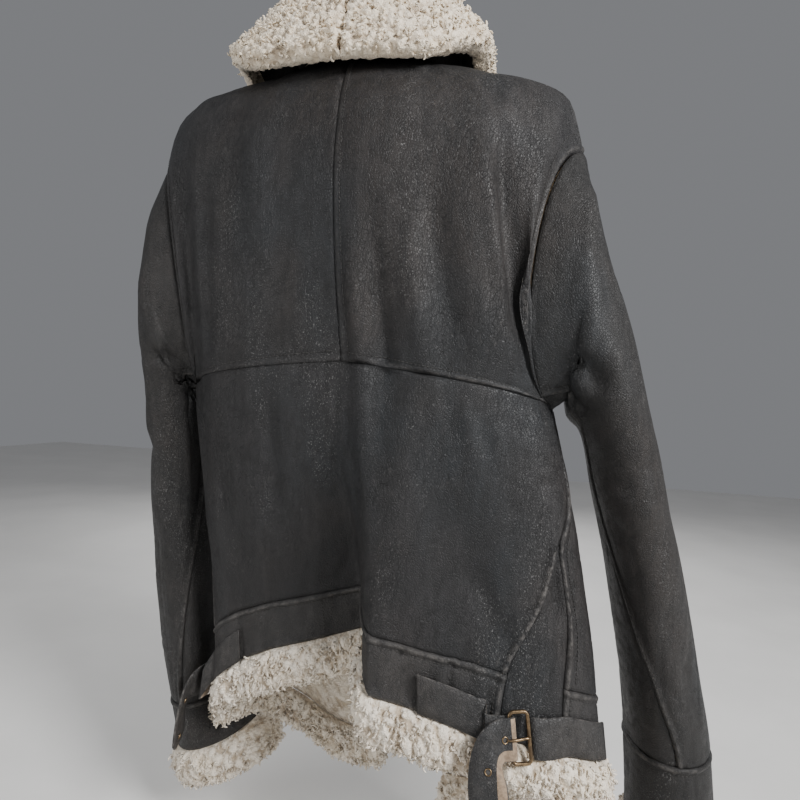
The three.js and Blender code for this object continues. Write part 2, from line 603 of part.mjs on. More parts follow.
// Collar halves
function collarHalf(sign, spread) {
  const stations = [0.002, 0.1, 0.2, 0.3, 0.4, 0.5, 0.6, 0.7, 0.8, 0.9, 1];
  const skin = stations.map((q) => {
    const neck = q <= 0.5 ? readPoint(backNeck, 's', (q / 0.5) * NECK_BACK) : readPoint(frontNeck, 's', ((1 - q) / 0.5) * NECK_FRONT);
    const top = readPoint(collarRows, 'q', q, ['topX', 'topY', 'topZ']);
    const edge = readPoint(collarRows, 'q', q, ['edgeX', 'edgeY', 'edgeZ']);
    edge[0] += spread * smooth(q / 0.4);
    const N = add(neck, [0, 0, 1.2]);
    const out = unit([edge[0] - N[0], edge[1] - N[1], 0]);
    const lift = (p, o, z) => add(add(p, mul(out, o)), [0, 0, z]);
    const knots = [N, mix(N, top, 0.5), lift(top, -3, -9), lift(top, 2, 0), lift(top, 8, -8), lift(mix(top, edge, 0.5), 3, 0), edge];
    const path = new THREE.CatmullRomCurve3(knots.map((k) => new THREE.Vector3(...k)), false, 'centripetal');
    return path.getSpacedPoints(11).map((v) => [v.x * sign, v.y, v.z]);
  });
  const rows = skin.length;
  const cols = skin[0].length;
  const grid = skin.map((row, r) => row.map((p, c) => {
    const along = sub(skin[Math.min(r + 1, rows - 1)][c], skin[Math.max(r - 1, 0)][c]);
    const over = sub(row[Math.min(c + 1, cols - 1)], row[Math.max(c - 1, 0)]);
    return { p, n: unit(mul(cross(over, along), -sign)) };
  }));
  const skinSide = grid.map((row) => row.map((v) => v.p));
  const woolSide = grid.map((row) => row.map((v) => add(v.p, mul(v.n, -COLLAR_WOOL))));
  for (const row of woolSide) row[0] = add(row[0], [0, 0, 4]);
  for (const side of [skinSide, woolSide]) side[0] = side[0].map((p) => [(sign * SEAM) / 2, p[1], p[2]]);
  return flatten(skinSide, woolSide, false);
}
put('collar_left', collarHalf(1, collarSpread.L), WOOL);
put('collar_right', collarHalf(-1, collarSpread.R), WOOL);

// Straps: a ribbon through stations with a middle, a direction across and one out of the face
function ribbon(stations, half, thick) {
  const positions = [];
  const index = [];
  for (const { p, across, out, slim = 1 } of stations) {
    const a = mul(across, half * slim);
    const t = mul(out, thick / 2);
    positions.push(...add(sub(p, a), t), ...add(add(p, a), t), ...sub(add(p, a), t), ...sub(sub(p, a), t));
  }
  for (let r = 0; r < stations.length - 1; r += 1) {
    for (let c = 0; c < 4; c += 1) {
      const a = 4 * r + c;
      const b = 4 * r + ((c + 1) % 4);
      index.push(a, b, b + 4, a, b + 4, a + 4);
    }
  }
  const o = 4 * (stations.length - 1);
  index.push(0, 2, 1, 0, 3, 2, o, o + 1, o + 2, o, o + 2, o + 3);
  return solid(positions, index);
}

// A closed bar bent into a rounded rectangle, for the buckle
function frameBar(centre, along, down, out, halfAlong, halfDown, radius) {
  const corner = 4;
  const sides = 6;
  const middle = [];
  for (const [sx, sy, start] of [[1, 1, 0], [-1, 1, 90], [-1, -1, 180], [1, -1, 270]]) {
    for (const turn of [0, 45, 90]) {
      const a = THREE.MathUtils.degToRad(start + turn);
      middle.push([sx * (halfAlong - corner) + corner * Math.cos(a), sy * (halfDown - corner) + corner * Math.sin(a), Math.cos(a), Math.sin(a)]);
    }
  }
  const positions = [];
  const index = [];
  for (const [x, y, cx, cy] of middle) {
    const away = add(mul(along, cx), mul(down, cy));
    const c = add(centre, add(mul(along, x), mul(down, y)));
    for (let k = 0; k < sides; k += 1) {
      const a = (2 * Math.PI * (k + 0.5)) / sides;
      positions.push(...add(c, add(mul(away, radius * Math.cos(a)), mul(out, radius * Math.sin(a)))));
    }
  }
  for (let r = 0; r < middle.length; r += 1) {
    for (let k = 0; k < sides; k += 1) {
      const a = r * sides + k;
      const b = r * sides + ((k + 1) % sides);
      const n = ((r + 1) % middle.length) * sides;
      index.push(a, b, n + ((k + 1) % sides), a, n + ((k + 1) % sides), n + k);
    }
  }
  return solid(positions, index);
}

// The strap's way through the buckle and down: distances along, out and down from the buckle's middle
const BODY_LONG = 330;       // from the cross seam to the hem
const STRAP_W = 2 - (STRAP_WIDE / 2 + 0.5) / BODY_LONG;
const BUCKLE_OUT = 6;
const BUCKLE_BAR = 1.8;
const BUCKLE_HALF_ALONG = 8.5;
const BUCKLE_HALF_DOWN = 21.6;
const tailPath = [
  { a: 30, o: 2.2, d: -3, ax: 0, ox: 0, dx: 1 },
  { a: 20, o: 2.1, d: -1, ax: 0, ox: 0, dx: 1 },
  { a: 8.5, o: 2.2, d: 0, ax: 0, ox: 0, dx: 1 },
  { a: 5.8, o: 3.3, d: 0, ax: 0, ox: 0, dx: 1 },
  { a: 4.7, o: 6, d: 0, ax: 0, ox: 0, dx: 1 },
  { a: 5.8, o: 8.7, d: 0, ax: 0, ox: 0, dx: 1 },
  { a: 8.5, o: 9.8, d: 0, ax: 0, ox: 0, dx: 1 },
  { a: 17, o: 10.5, d: 0, ax: 0, ox: 0, dx: 1 },
  { a: 25, o: 14, d: 3, ax: -0.25, ox: 0, dx: 0.97 },
  { a: 31, o: 18, d: 11, ax: -0.6, ox: 0.15, dx: 0.78 },
  { a: 34, o: 20, d: 24, ax: -0.85, ox: 0.3, dx: 0.42 },
  { a: 35, o: 20.5, d: 40, ax: -0.93, ox: 0.35, dx: 0.1 },
  { a: 34, o: 20.5, d: 60, ax: -0.94, ox: 0.33, dx: 0 },
];
function adjust(name, sign, set) {
  const on = (u, dip) => {
    const p = point(sign * u, STRAP_W);
    const n = normal(sign * u, STRAP_W);
    const down = unit(sub(point(sign * u, 2), point(sign * u, 1.9)));
    const across = unit(add(down, mul(n, dip * 0.02)));
    const out = unit(sub(n, mul(across, dot(n, across))));
    return { p: add(add(p, mul(n, 2.2 + dip * 0.4)), mul(down, dip)), across, out };
  };
  const seat = on(set.buckle, 9);
  const out = seat.out;
  const along = unit(cross(mul(out, sign), seat.across));
  const down = unit(cross(along, mul(out, sign)));
  const middle = sub(seat.p, mul(out, 2.2));
  const at = (a, o, d) => add(middle, add(add(mul(along, a), mul(out, o)), mul(down, d)));
  const strap = [];
  const steps = 7;
  for (let k = 0; k < steps; k += 1) {
    const t = k / (steps - 1);
    const station = on(lerp(set.sewn, set.join, t), 6 * smooth(t));
    strap.push(station);
  }
  for (const row of tailPath) {
    const across = unit(add(add(mul(along, row.ax), mul(out, row.ox)), mul(down, row.dx)));
    strap.push({ p: at(row.a, row.o, row.d), across, out: null });
  }
  for (const [d, slim] of [[set.tail - 8, 1], [set.tail, 0.55]]) {
    strap.push({ p: at(33, 20.5, d), across: unit(add(mul(along, -0.94), mul(out, 0.33))), out: null, slim });
  }
  strap.forEach((v, i) => {
    if (v.out) return;
    const run = sub(strap[Math.min(i + 1, strap.length - 1)].p, strap[i - 1].p);
    v.out = unit(mul(cross(run, v.across), sign));
  });
  put(`adjuster_strap_${name}`, ribbon(strap, STRAP_WIDE / 2, STRAP_THICK), LEATHER);
  put(`buckle_${name}`, frameBar(at(0, BUCKLE_OUT, 0), along, down, out, BUCKLE_HALF_ALONG, BUCKLE_HALF_DOWN, BUCKLE_BAR), BRASS);
  const keeper = [];
  for (let k = 0; k <= 9; k += 1) {
    const t = k / 9;
    keeper.push(on(lerp(set.keeper, set.end, t), 8 * (1 - smooth(t * 3))));
  }
  keeper[keeper.length - 1].slim = 0.8;
  put(`buckle_tab_${name}`, ribbon(keeper, STRAP_WIDE / 2, STRAP_THICK), LEATHER);
}
adjust('right', -1, adjuster.R);
adjust('left', 1, adjuster.L);

// Zip: a tape down each front edge, and the slider with its pull tab at the foot of the left one
const zipRows = [...upperRows.slice(1), ...lowerRows.slice(1), ...bandRows.slice(1)];
function zipFrame(sign, w) {
  const p = point(sign * 2, w);
  const n = normal(sign * 2, w);
  const down = unit(sub(point(sign * 2, Math.min(2, w + 0.02)), point(sign * 2, w - 0.02)));
  const across = unit(cross(n, down));
  const e = mul(across, dot(across, sub(p, point(sign * 1.97, w))) > 0 ? 1 : -1);
  const straight = unit(cross(e, cross(down, e)));
  const face = cross(e, straight);
  return { p, n: mul(face, Math.sign(dot(face, n))), down: straight, e };
}
for (const [name, sign] of [['left', 1], ['right', -1]]) {
  const stations = zipRows.map((w) => {
    const { p, n, e } = zipFrame(sign, w);
    return { p: add(add(p, mul(e, 0.5 + ZIP_WIDE / 2)), mul(n, -1 - ZIP_THICK / 2)), across: e, out: n };
  });
  put(`zip_tape_${name}`, ribbon(stations, ZIP_WIDE / 2, ZIP_THICK), TAPE);
}

const wasm = await Module();
wasm.setup();
function toManifold(geometry) {
  const g = geometry.clone();
  for (const name of ['normal', 'uv']) if (g.attributes[name]) g.deleteAttribute(name);
  const merged = mergeVertices(g, 1e-4);
  return new wasm.Manifold(new wasm.Mesh({
    numProp: 3,
    vertProperties: new Float32Array(merged.attributes.position.array),
    triVerts: new Uint32Array(merged.index.array),
  }));
}
function joined(...geometries) {
  const mesh = geometries.map(toManifold).reduce((a, b) => a.add(b)).getMesh();
  return solid(Array.from(mesh.vertProperties), Array.from(mesh.triVerts));
}

// An outline pushed along an axis. The outline's own axes are given, and where it starts
function prism(outline, holes, depth, origin, xAxis, yAxis) {
  const shape = new THREE.Shape(outline.map(([x, y]) => new THREE.Vector2(x, y)));
  for (const hole of holes) shape.holes.push(new THREE.Path(hole.map(([x, y]) => new THREE.Vector2(x, y))));
  const geometry = new THREE.ExtrudeGeometry(shape, { depth, bevelEnabled: false });
  const zAxis = cross(xAxis, yAxis);
  geometry.translate(0, 0, -depth / 2);
  geometry.applyMatrix4(new THREE.Matrix4().makeBasis(...[xAxis, yAxis, zAxis].map((v) => new THREE.Vector3(...v))));
  geometry.translate(...origin);
  return geometry;
}

// Slider, in its own axes: across the tape, down it and out of it
const SLIDER_AT = 1.87;
const SLIDER_TALL = 13;
const TAB_LONG = 34;
const PIN_OUT = 2.6;
const seat = zipFrame(1, SLIDER_AT);
const onSlider = (e, n, t) => add(seat.p, add(add(mul(seat.e, e), mul(seat.n, n)), mul(seat.down, t)));
const sliderCut = [
  [2.6, -0.5], [9.5, -0.5], [9.5, -3.7], [2.6, -3.7], [2.6, -5.2], [11, -5.2], [11, 1.1], [2.6, 1.1],
];
const bridgeCut = [
  [-5, 1], [-5, 5.2], [5, 5.2], [5, 1], [3.7, 1], [3.7, 4], [-3.7, 4], [-3.7, 1],
];
put('zip_slider', joined(
  prism(sliderCut, [], SLIDER_TALL, seat.p, seat.e, seat.n),
  prism(bridgeCut, [], 1.8, onSlider(6.8, 0, 0), seat.down, seat.n),
), STEEL);
const pin = onSlider(6.8, PIN_OUT, 0);
const tabCut = [
  [-2.5, -0.75], [2.5, -0.75], [4, 7], [4, TAB_LONG - 3], [2, TAB_LONG], [-2, TAB_LONG], [-4, TAB_LONG - 3], [-4, 7],
];
const tabHole = [[-1.35, 0.75], [-1.35, 7], [1.35, 7], [1.35, 0.75]];
const hang = unit(sub([0, 0, -1], mul(seat.e, -seat.e[2])));
put('zip_pull_tab', prism(tabCut, [tabHole], 1.5, pin, seat.e, hang), STEEL);

// Hanger: two sloping arms under the shoulders and a wire hook
const armRows = [
  { x: 0, z: -125.3 }, { x: 40, z: -132.3 }, { x: 85, z: -156.3 }, { x: 140, z: -170.3 }, { x: 186, z: -182.3 }, { x: 208, z: -196.3 },
];
const arms = [];
for (const side of [-1, 1]) {
  for (const row of side < 0 ? [...armRows].reverse() : armRows.slice(1)) arms.push([row.x * side, 0, row.z]);
}
const oval = new THREE.Shape();
oval.absellipse(0, 0, HANGER_DEEP, HANGER_TALL, 0, 2 * Math.PI);
const armCurve = new THREE.CatmullRomCurve3(arms.map((p) => new THREE.Vector3(...p)), false, 'centripetal');
put('hanger', new THREE.ExtrudeGeometry(oval, { steps: 22, curveSegments: 5, bevelEnabled: false, extrudePath: armCurve }), WOOD);
const hookLine = [[0, 0, -116.45], [0, 0, -90], [0, 0, -60], [-4, 0, -46], [-13, 0, -37]];
for (let k = 0; k <= 9; k += 1) {
  const a = THREE.MathUtils.degToRad(205 - k * 24);
  hookLine.push([HOOK_BEND * Math.cos(a), 0, HOOK_WIRE - HOOK_BEND + HOOK_BEND * Math.sin(a)]);
}
const wire = new THREE.Shape();
wire.absarc(0, 0, HOOK_WIRE, 0, 2 * Math.PI);
const hookCurve = new THREE.CatmullRomCurve3(hookLine.map((p) => new THREE.Vector3(...p)), false, 'centripetal');
put('hanger_hook', new THREE.ExtrudeGeometry(wire, { steps: 34, curveSegments: 4, bevelEnabled: false, extrudePath: hookCurve }), STEEL);

export default jacket;
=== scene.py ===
"""Dresses the CAD frame of a shearling-lined leather jacket on a hanger.

+X is the wearer's left, +Y the back, +Z up; sizes are in metres. The back and front are one
surface, body_point(u, w): u runs from 0 at the centre back to 1 at the left side and 2 at the
left front edge, and from 0 to -1 and -2 on the right; w runs from 0 at the neck and shoulder
seams to 1 at the cross seam and 2 at the hem.
"""

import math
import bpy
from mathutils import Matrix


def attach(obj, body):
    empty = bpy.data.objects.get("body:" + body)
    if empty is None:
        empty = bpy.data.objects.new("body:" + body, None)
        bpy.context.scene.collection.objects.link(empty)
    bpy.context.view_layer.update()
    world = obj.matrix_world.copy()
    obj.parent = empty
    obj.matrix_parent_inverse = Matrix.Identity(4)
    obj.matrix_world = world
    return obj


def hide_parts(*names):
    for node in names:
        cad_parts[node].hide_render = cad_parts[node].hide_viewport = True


bl_info = {
    "name": "Shearling Jacket",
    "version": (1, 0, 0),
    "blender": (4, 5, 0),
    "location": "View3D > Sidebar > Jacket",
    "description": "Leather, wool and metal for a shearling-lined jacket on its hanger",
    "category": "Object",
}

from functools import lru_cache
from random import Random

import bpy
from bpy.props import FloatProperty, IntProperty, PointerProperty
from mathutils import Quaternion, Vector, kdtree, noise

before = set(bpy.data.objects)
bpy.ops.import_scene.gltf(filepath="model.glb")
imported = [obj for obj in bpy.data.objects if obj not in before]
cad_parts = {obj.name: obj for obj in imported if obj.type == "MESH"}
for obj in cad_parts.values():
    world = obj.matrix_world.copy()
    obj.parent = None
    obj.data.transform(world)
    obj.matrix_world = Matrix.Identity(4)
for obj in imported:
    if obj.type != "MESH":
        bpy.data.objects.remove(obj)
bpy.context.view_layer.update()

# Named sizes
WALL = 0.008
LEATHER = 0.002
COLLAR_WOOL = 0.014
BAND_TOP = 1.82
STRAP_WIDE = 0.036
STRAP_THICK = 0.0026
ZIP_WIDE = 0.0085
ZIP_THICK = 0.0022
NECK_BACK = 0.33
NECK_FRONT = 0.42
# How square the body's sections are: 1 is an ellipse
SQUARE = 0.9
# Height w of the gussets' points, and the angles of the sleeves' seams
APEX = 1.42
BACK_SEAM = 156.6
FRONT_SEAM = 252
FLOOR_Z = -1.06
FLOOR_HALF = 4
# Each side's name, and the sign of x on it
SIDES = (("right", -1), ("left", 1))
CAMERA_PLACE = (-0.192, 0.635, -0.505)
CAMERA_TURN = 12
CAMERA_TILT = 3


def rows(names, *values):
    """A table as a list of dictionaries, one for each row."""
    return [dict(zip(names.split(), row)) for row in values]


# Neck and shoulder seams. s runs from the centre back, or the front edge, to the armhole
BACK_NECK = rows(
    "s x y z",
    (0, 0, 0.05, -0.14),
    (0.17, 0.05, 0.038, -0.139),
    (0.27, 0.076, 0.012, -0.135),
    (0.33, 0.085, -0.012, -0.132),
)
FRONT_NECK = rows(
    "s x y z",
    (0, 0.03, -0.092, -0.216),
    (0.14, 0.058, -0.08, -0.184),
    (0.3, 0.079, -0.048, -0.15),
    (0.42, 0.085, -0.012, -0.132),
)
SHOULDER = rows(
    "s x y z",
    (0, 0.085, -0.012, -0.132),
    (0.3, 0.138, -0.004, -0.144),
    (0.6, 0.192, 0, -0.157),
    (0.78, 0.222, 0, -0.176),
    (1, 0.242, 0, -0.235),
)
# The centre back line and the two front edges above the cross seam
CENTRE_BACK = rows(
    "w x y z",
    (0, 0, 0.05, -0.14),
    (0.12, 0, 0.079, -0.178),
    (0.26, -0.001, 0.098, -0.224),
    (0.44, -0.002, 0.106, -0.284),
    (0.7, -0.006, 0.101, -0.37),
    (1, -0.014, 0.088, -0.47),
)
FRONT_EDGE = rows(
    "w leftX rightX y z",
    (0, 0.03, -0.03, -0.092, -0.216),
    (0.3, 0.031, -0.033, -0.104, -0.3),
    (0.65, 0.028, -0.042, -0.108, -0.405),
    (1, 0.02, -0.05, -0.106, -0.512),
)
# Sections below the cross seam
SECTIONS = rows(
    "w leftX leftY rightX rightY backX backY edgeLX edgeRX edgeLY edgeRY",
    (1, 0.186, 0, -0.223, 0.012, -0.014, 0.088, 0.02, -0.05, -0.106, -0.106),
    (1.15, 0.178, -0.002, -0.236, 0.014, -0.02, 0.09, 0.014, -0.056, -0.106, -0.106),
    (1.4, 0.168, -0.004, -0.255, 0.018, -0.03, 0.094, 0.003, -0.068, -0.104, -0.103),
    (1.7, 0.157, -0.005, -0.274, 0.022, -0.037, 0.098, -0.018, -0.088, -0.098, -0.096),
    (2, 0.15, -0.006, -0.288, 0.025, -0.04, 0.101, -0.041, -0.113, -0.09, -0.085),
)
# Heights of the cross seam and the hem
LEVELS = rows(
    "w back left right edgeL edgeR rise",
    (1, -0.47, -0.5, -0.508, -0.512, -0.512, 1),
    (2, -0.78, -0.862, -0.852, -0.925, -0.962, 0.8),
)
# Softer folds: where, how wide round the body, over which heights, and how deep
FOLDS = rows(
    "u width top bottom depth",
    (-0.3, 0.13, 1.25, 2.1, -0.004),
    (0.52, 0.15, 1.15, 2.1, -0.005),
    (0.8, 0.14, 0.3, 1.1, -0.006),
    (-0.8, 0.14, 0.3, 1.1, -0.005),
    (1.55, 0.16, 1.1, 2.1, -0.007),
    (-1.5, 0.18, 1, 2.1, -0.008),
    (-1.2, 0.1, 1.3, 2.1, -0.005),
)
# The side seam down to the gusset's point, and the gusset's two seams below it
SIDE_SEAM = rows(
    "w R L",
    (1, 1, 1),
    (1.14, 0.97, 1),
    (1.28, 0.85, 1),
    (APEX, 0.69, 0.99),
)
GUSSET_SEAMS = rows(
    "w backR frontR backL frontL",
    (APEX, 0.69, 0.69, 0.99, 0.99),
    (1.58, 0.58, 0.69, 0.96, 1.07),
    (BAND_TOP, 0.41, 0.63, 0.92, 1.17),
    (2, 0.37, 0.59, 0.9, 1.22),
)
# Collar from the centre back to the front: its fold and its free edge
COLLAR_ROWS = rows(
    "q topX topY topZ edgeX edgeY edgeZ",
    (0, 0, 0.058, -0.074, 0, 0.097, -0.172),
    (0.25, 0.062, 0.044, -0.078, 0.086, 0.08, -0.166),
    (0.5, 0.098, -0.006, -0.09, 0.143, 0.01, -0.125),
    (0.75, 0.096, -0.076, -0.122, 0.146, -0.104, -0.176),
    (1, 0.046, -0.114, -0.19, 0.1, -0.134, -0.28),
)
# Sleeves from the armhole to the cuff's end: outer and inner lines, half depth and middle
SLEEVE_R = rows(
    "t outX outZ inX inZ half midY seam",
    (1, 0.25, -0.28, 0.238, -0.492, 0.064, 0.002, 158),
    (2, 0.26, -0.334, 0.245, -0.51, 0.068, -0.006, 160),
    (3, 0.283, -0.398, 0.257, -0.521, 0.066, -0.014, 162),
    (4, 0.305, -0.471, 0.266, -0.543, 0.063, -0.022, 165),
    (5, 0.326, -0.54, 0.274, -0.578, 0.06, -0.03, 163),
    (6, 0.343, -0.602, 0.285, -0.62, 0.058, -0.038, 157),
    (7, 0.36, -0.666, 0.299, -0.672, 0.056, -0.046, 145),
    (8, 0.376, -0.73, 0.312, -0.734, 0.054, -0.055, 128),
    (9, 0.391, -0.798, 0.323, -0.8, 0.052, -0.064, 108),
    (10, 0.404, -0.87, 0.332, -0.868, 0.052, -0.07, 92),
    (11, 0.413, -0.962, 0.336, -0.956, 0.051, -0.064, 92),
)
SLEEVE_L = rows(
    "t outX outZ inX inZ half midY seam",
    (1, 0.248, -0.28, 0.197, -0.494, 0.062, -0.004, 158),
    (2, 0.25, -0.334, 0.206, -0.503, 0.066, -0.012, 160),
    (3, 0.249, -0.398, 0.207, -0.514, 0.064, -0.02, 162),
    (4, 0.249, -0.471, 0.203, -0.536, 0.061, -0.027, 165),
    (5, 0.25, -0.54, 0.197, -0.57, 0.058, -0.034, 163),
    (6, 0.251, -0.602, 0.193, -0.616, 0.056, -0.04, 157),
    (7, 0.252, -0.666, 0.19, -0.67, 0.054, -0.046, 145),
    (8, 0.251, -0.734, 0.186, -0.732, 0.052, -0.052, 128),
    (9, 0.243, -0.814, 0.179, -0.806, 0.05, -0.057, 108),
    (10, 0.224, -0.894, 0.166, -0.886, 0.047, -0.06, 92),
    (11, 0.216, -0.962, 0.128, -0.926, 0.043, -0.062, 92),
)

# Soft creases on the body, from one point to another. A positive depth is a ridge
CREASES = rows(
    "u w u2 w2 wide depth",
    (0.64, 0.33, 0.60, 1.02, 0.014, -0.0032),
    (0.40, 0.20, 0.22, 0.76, 0.015, 0.0024),
    (0.86, 0.60, 0.80, 1.72, 0.010, 0.0026),
    (-0.05, 0.48, -0.04, 1.60, 0.008, 0.0028),
    (-0.13, 0.48, -0.12, 1.22, 0.009, -0.0030),
    (-0.24, 0.52, -0.25, 1.20, 0.011, 0.0020),
    (-0.37, 0.42, -0.38, 0.97, 0.013, -0.0026),
    (-0.53, 0.28, -0.55, 1.00, 0.018, 0.0018),
    (-0.64, 0.26, -0.84, 0.80, 0.011, -0.0046),
    (-0.57, 0.30, -0.75, 0.74, 0.010, 0.0022),
    (-0.30, 1.03, -0.31, 1.20, 0.004, -0.0014),
    (-0.35, 1.05, -0.36, 1.31, 0.004, 0.0010),
    (-0.41, 1.02, -0.42, 1.22, 0.004, -0.0013),
    (-0.47, 1.08, -0.47, 1.27, 0.0035, 0.0009),
    (-0.30, 1.52, -0.44, 1.80, 0.013, -0.0026),
    (-0.60, 1.28, -0.66, 1.70, 0.016, -0.0020),
    (0.25, 1.04, 0.30, 1.55, 0.012, -0.0022),
    (0.45, 1.10, 0.50, 1.62, 0.017, 0.0018),
    (1.30, 0.40, 1.42, 0.96, 0.014, -0.0030),
    (1.50, 0.52, 1.45, 1.30, 0.012, 0.0020),
    (1.70, 0.28, 1.60, 0.90, 0.016, -0.0024),
    (1.26, 1.10, 1.31, 1.70, 0.014, -0.0022),
    (1.60, 1.15, 1.71, 1.76, 0.012, -0.0026),
    (1.82, 1.20, 1.84, 1.70, 0.010, 0.0016),
    (-1.28, 0.42, -1.36, 0.90, 0.013, -0.0028),
    (-1.52, 0.36, -1.44, 1.20, 0.014, 0.0022),
    (-1.66, 0.50, -1.74, 1.40, 0.013, -0.0024),
    (-1.34, 1.12, -1.40, 1.74, 0.016, -0.0026),
    (-1.58, 1.30, -1.66, 1.80, 0.011, 0.0018),
    (-1.84, 1.10, -1.80, 1.62, 0.010, -0.0016),
)
# Creases on the sleeves, along t and round by the angle in degrees
SLEEVE_CREASES = rows(
    "side angle t angle2 t2 wide depth",
    (-1, 86, 1.7, 80, 6.6, 0.011, 0.0026),
    (-1, 122, 1.1, 102, 3.3, 0.009, -0.0034),
    (-1, 140, 0.9, 120, 2.6, 0.007, 0.0024),
    (-1, 150, 1.2, 136, 2.9, 0.006, -0.0026),
    (-1, 58, 4.9, 112, 5.5, 0.012, -0.0024),
    (-1, 66, 5.7, 120, 6.1, 0.010, 0.0018),
    (-1, 198, 5.4, 242, 5.0, 0.010, -0.0034),
    (-1, 228, 6.0, 286, 5.6, 0.012, -0.0028),
    (-1, 300, 4.5, 250, 5.2, 0.012, -0.0024),
    (-1, 100, 7.1, 72, 9.5, 0.012, -0.0022),
    (-1, 322, 7.0, 312, 9.6, 0.012, 0.0020),
    (-1, 292, 1.4, 270, 3.4, 0.012, -0.0026),
    (1, 62, 1.5, 66, 6.2, 0.011, 0.0026),
    (1, 100, 2.4, 104, 7.0, 0.013, -0.0026),
    (1, 132, 1.0, 116, 2.8, 0.008, -0.0028),
    (1, 66, 6.6, 92, 9.3, 0.012, -0.0020),
    (1, 40, 5.2, 88, 6.0, 0.012, -0.0020),
    (1, 200, 5.5, 246, 5.1, 0.010, -0.0032),
    (1, 232, 6.2, 290, 5.8, 0.012, -0.0026),
    (1, 304, 4.4, 256, 5.0, 0.012, -0.0026),
    (1, 284, 1.3, 268, 3.0, 0.012, -0.0024),
)
# How far from its line a crease is felt, and what all depths are multiplied by
CREASE_REACH = 0.045
CREASE_SCALE = 2.1
# The deep fold in the lower back: its sides round the body, its first height and its depth
TROUGH = {"from": -0.05, "floor": 0.075, "start": 1.02, "depth": 0.076, "undercut": 0.022, "lift": 0.036}
# Where round the front the hem drops to the edge's level, and what the collar's edge is moved by
FRONT_DROP = {"L": (0.42, 0.9), "R": (-0.1, 0.9)}
COLLAR_SPREAD = {"L": 0.012, "R": -0.010}
# Outer ends of the shoulder seams, with x for the left one
SHOULDER_TIP = (0.242, 0, -0.235)
# Both adjusters: where each part sits round the body, how far the tail hangs, and the station
# after which the strap's leather side is turned out, 0 where it never is
ADJUSTERS = rows(
    "name sign sewn join buckle keeper end tail turned",
    ("right", -1, 0.158, 0.34, 0.435, 0.478, 1.0, 0.092, 65),
    ("left", 1, 0.55, 0.8, 1.03, 1.14, 1.5, 0.076, 0),
)
# The strap's way through the buckle: along, out and down from its middle, and its width's direction
TAIL_PATH = rows(
    "a o d ax ox dx",
    (0.030, 0.0022, -0.003, 0, 0, 1),
    (0.020, 0.0021, -0.001, 0, 0, 1),
    (0.0085, 0.0022, 0, 0, 0, 1),
    (0.0058, 0.0033, 0, 0, 0, 1),
    (0.0047, 0.0060, 0, 0, 0, 1),
    (0.0058, 0.0087, 0, 0, 0, 1),
    (0.0085, 0.0098, 0, 0, 0, 1),
    (0.017, 0.0105, 0, 0, 0, 1),
    (0.025, 0.014, 0.003, -0.25, 0, 0.97),
    (0.031, 0.018, 0.011, -0.6, 0.15, 0.78),
    (0.034, 0.020, 0.024, -0.85, 0.3, 0.42),
    (0.035, 0.0205, 0.040, -0.93, 0.35, 0.1),
    (0.034, 0.0205, 0.060, -0.94, 0.33, 0),
)
# Outline of a wool edge: out from the leather and down from its end
WOOL_OUTLINE = [
    (-0.002, 0.0012), (0.004, 0.005), (0.008, 0.014), (0.008, 0.028), (0.004, 0.040),
    (-0.004, 0.046), (-0.012, 0.042), (-0.016, 0.030), (-0.017, 0.014), (-0.012, 0.0012),
]
# Distances of the first points from a panel's edge, and the one that the thread lies on
EDGE_STEPS = (0.00015, 0.0011, 0.0022, 0.0034, 0.0048, 0.0062, 0.0080, 0.0098, 0.0125)
STITCH_COLUMN = 6
STITCH_STEP = 0.0042
STITCH_LONG = 0.0030
# Least width of a gusset, at its point
GUSSET_POINT = 0.012
# How far the sleeve's first ring lies outside the armhole
SLEEVE_GAP = 0.0011
# How far the lower back reaches up under the yokes, as a part of their height
SEAM_LAP = 0.006
# How far from the armpit the inner side has no wool
BARE = {"sleeve": 0.095, "other": 0.045}
# Height w of the straps' middle
STRAP_W = 2 - (STRAP_WIDE / 2 + 0.0005) / 0.33
# Spacing of the zip's teeth, and the height w at which the left ones end
TEETH_STEP = 0.0026
LEFT_TEETH_END = 1.84
BUCKLE_OUT = 0.006
BUCKLE_BAR = 0.0018
BUCKLE_CORNER = 0.004
BUCKLE_HALF_ALONG = 0.0085
BUCKLE_HALF_DOWN = 0.0216
# The prong, along and out from the buckle's middle
PRONG = ((-0.0085, 0.0084), (-0.002, 0.0104), (0.006, 0.0128), (0.0135, 0.0124))
PRONG_RADII = [0.0013] * 8 + [0.0011, 0.0006]
EYELET_SHARES = (0.42, 0.66, 0.80, 0.93)
EYELET_RADIUS = 0.0027
EYELET_BAR = 0.0007
# Length round a wool edge's outline, and along the collar from the neck to its edge
OUTLINE_REACH = 0.122
COLLAR_REACH = 0.235
# Width of a curl, its stretch, and the share of the points that have a lock
HEM_CURLS = (0.0098, 0.55, 0.19)
CUFF_CURLS = (0.0092, 0.7, 0.19)
COLLAR_LOCKS = 0.11
# Without a fixed seed the bend of the curls would differ from run to run
NOISE_SEED = 4
# Shares of a lock's thickness from its root to its tip
LOCK_TAPER = (1.0, 1.0, 0.9, 0.68, 0.25)
# Edges of the panels with a line of thread. A number is a place round the body
STITCH_EDGES = {
    "back_yoke_left": ("right", "bottom"),
    "back_yoke_right": ("left", "right", "bottom"),
    "hem_band_back": ("top", "left", "right", 0.185),
    "hem_band_right": ("top", "left", "right"),
    "hem_band_left": ("top", "left", "right"),
    "front_right": ("left", "right"),
    "front_left": ("left", "right"),
    "sleeve_top_right": ("left", "right"),
    "sleeve_top_left": ("left", "right"),
    "cuff_right": ("top",),
    "cuff_left": ("top",),
}
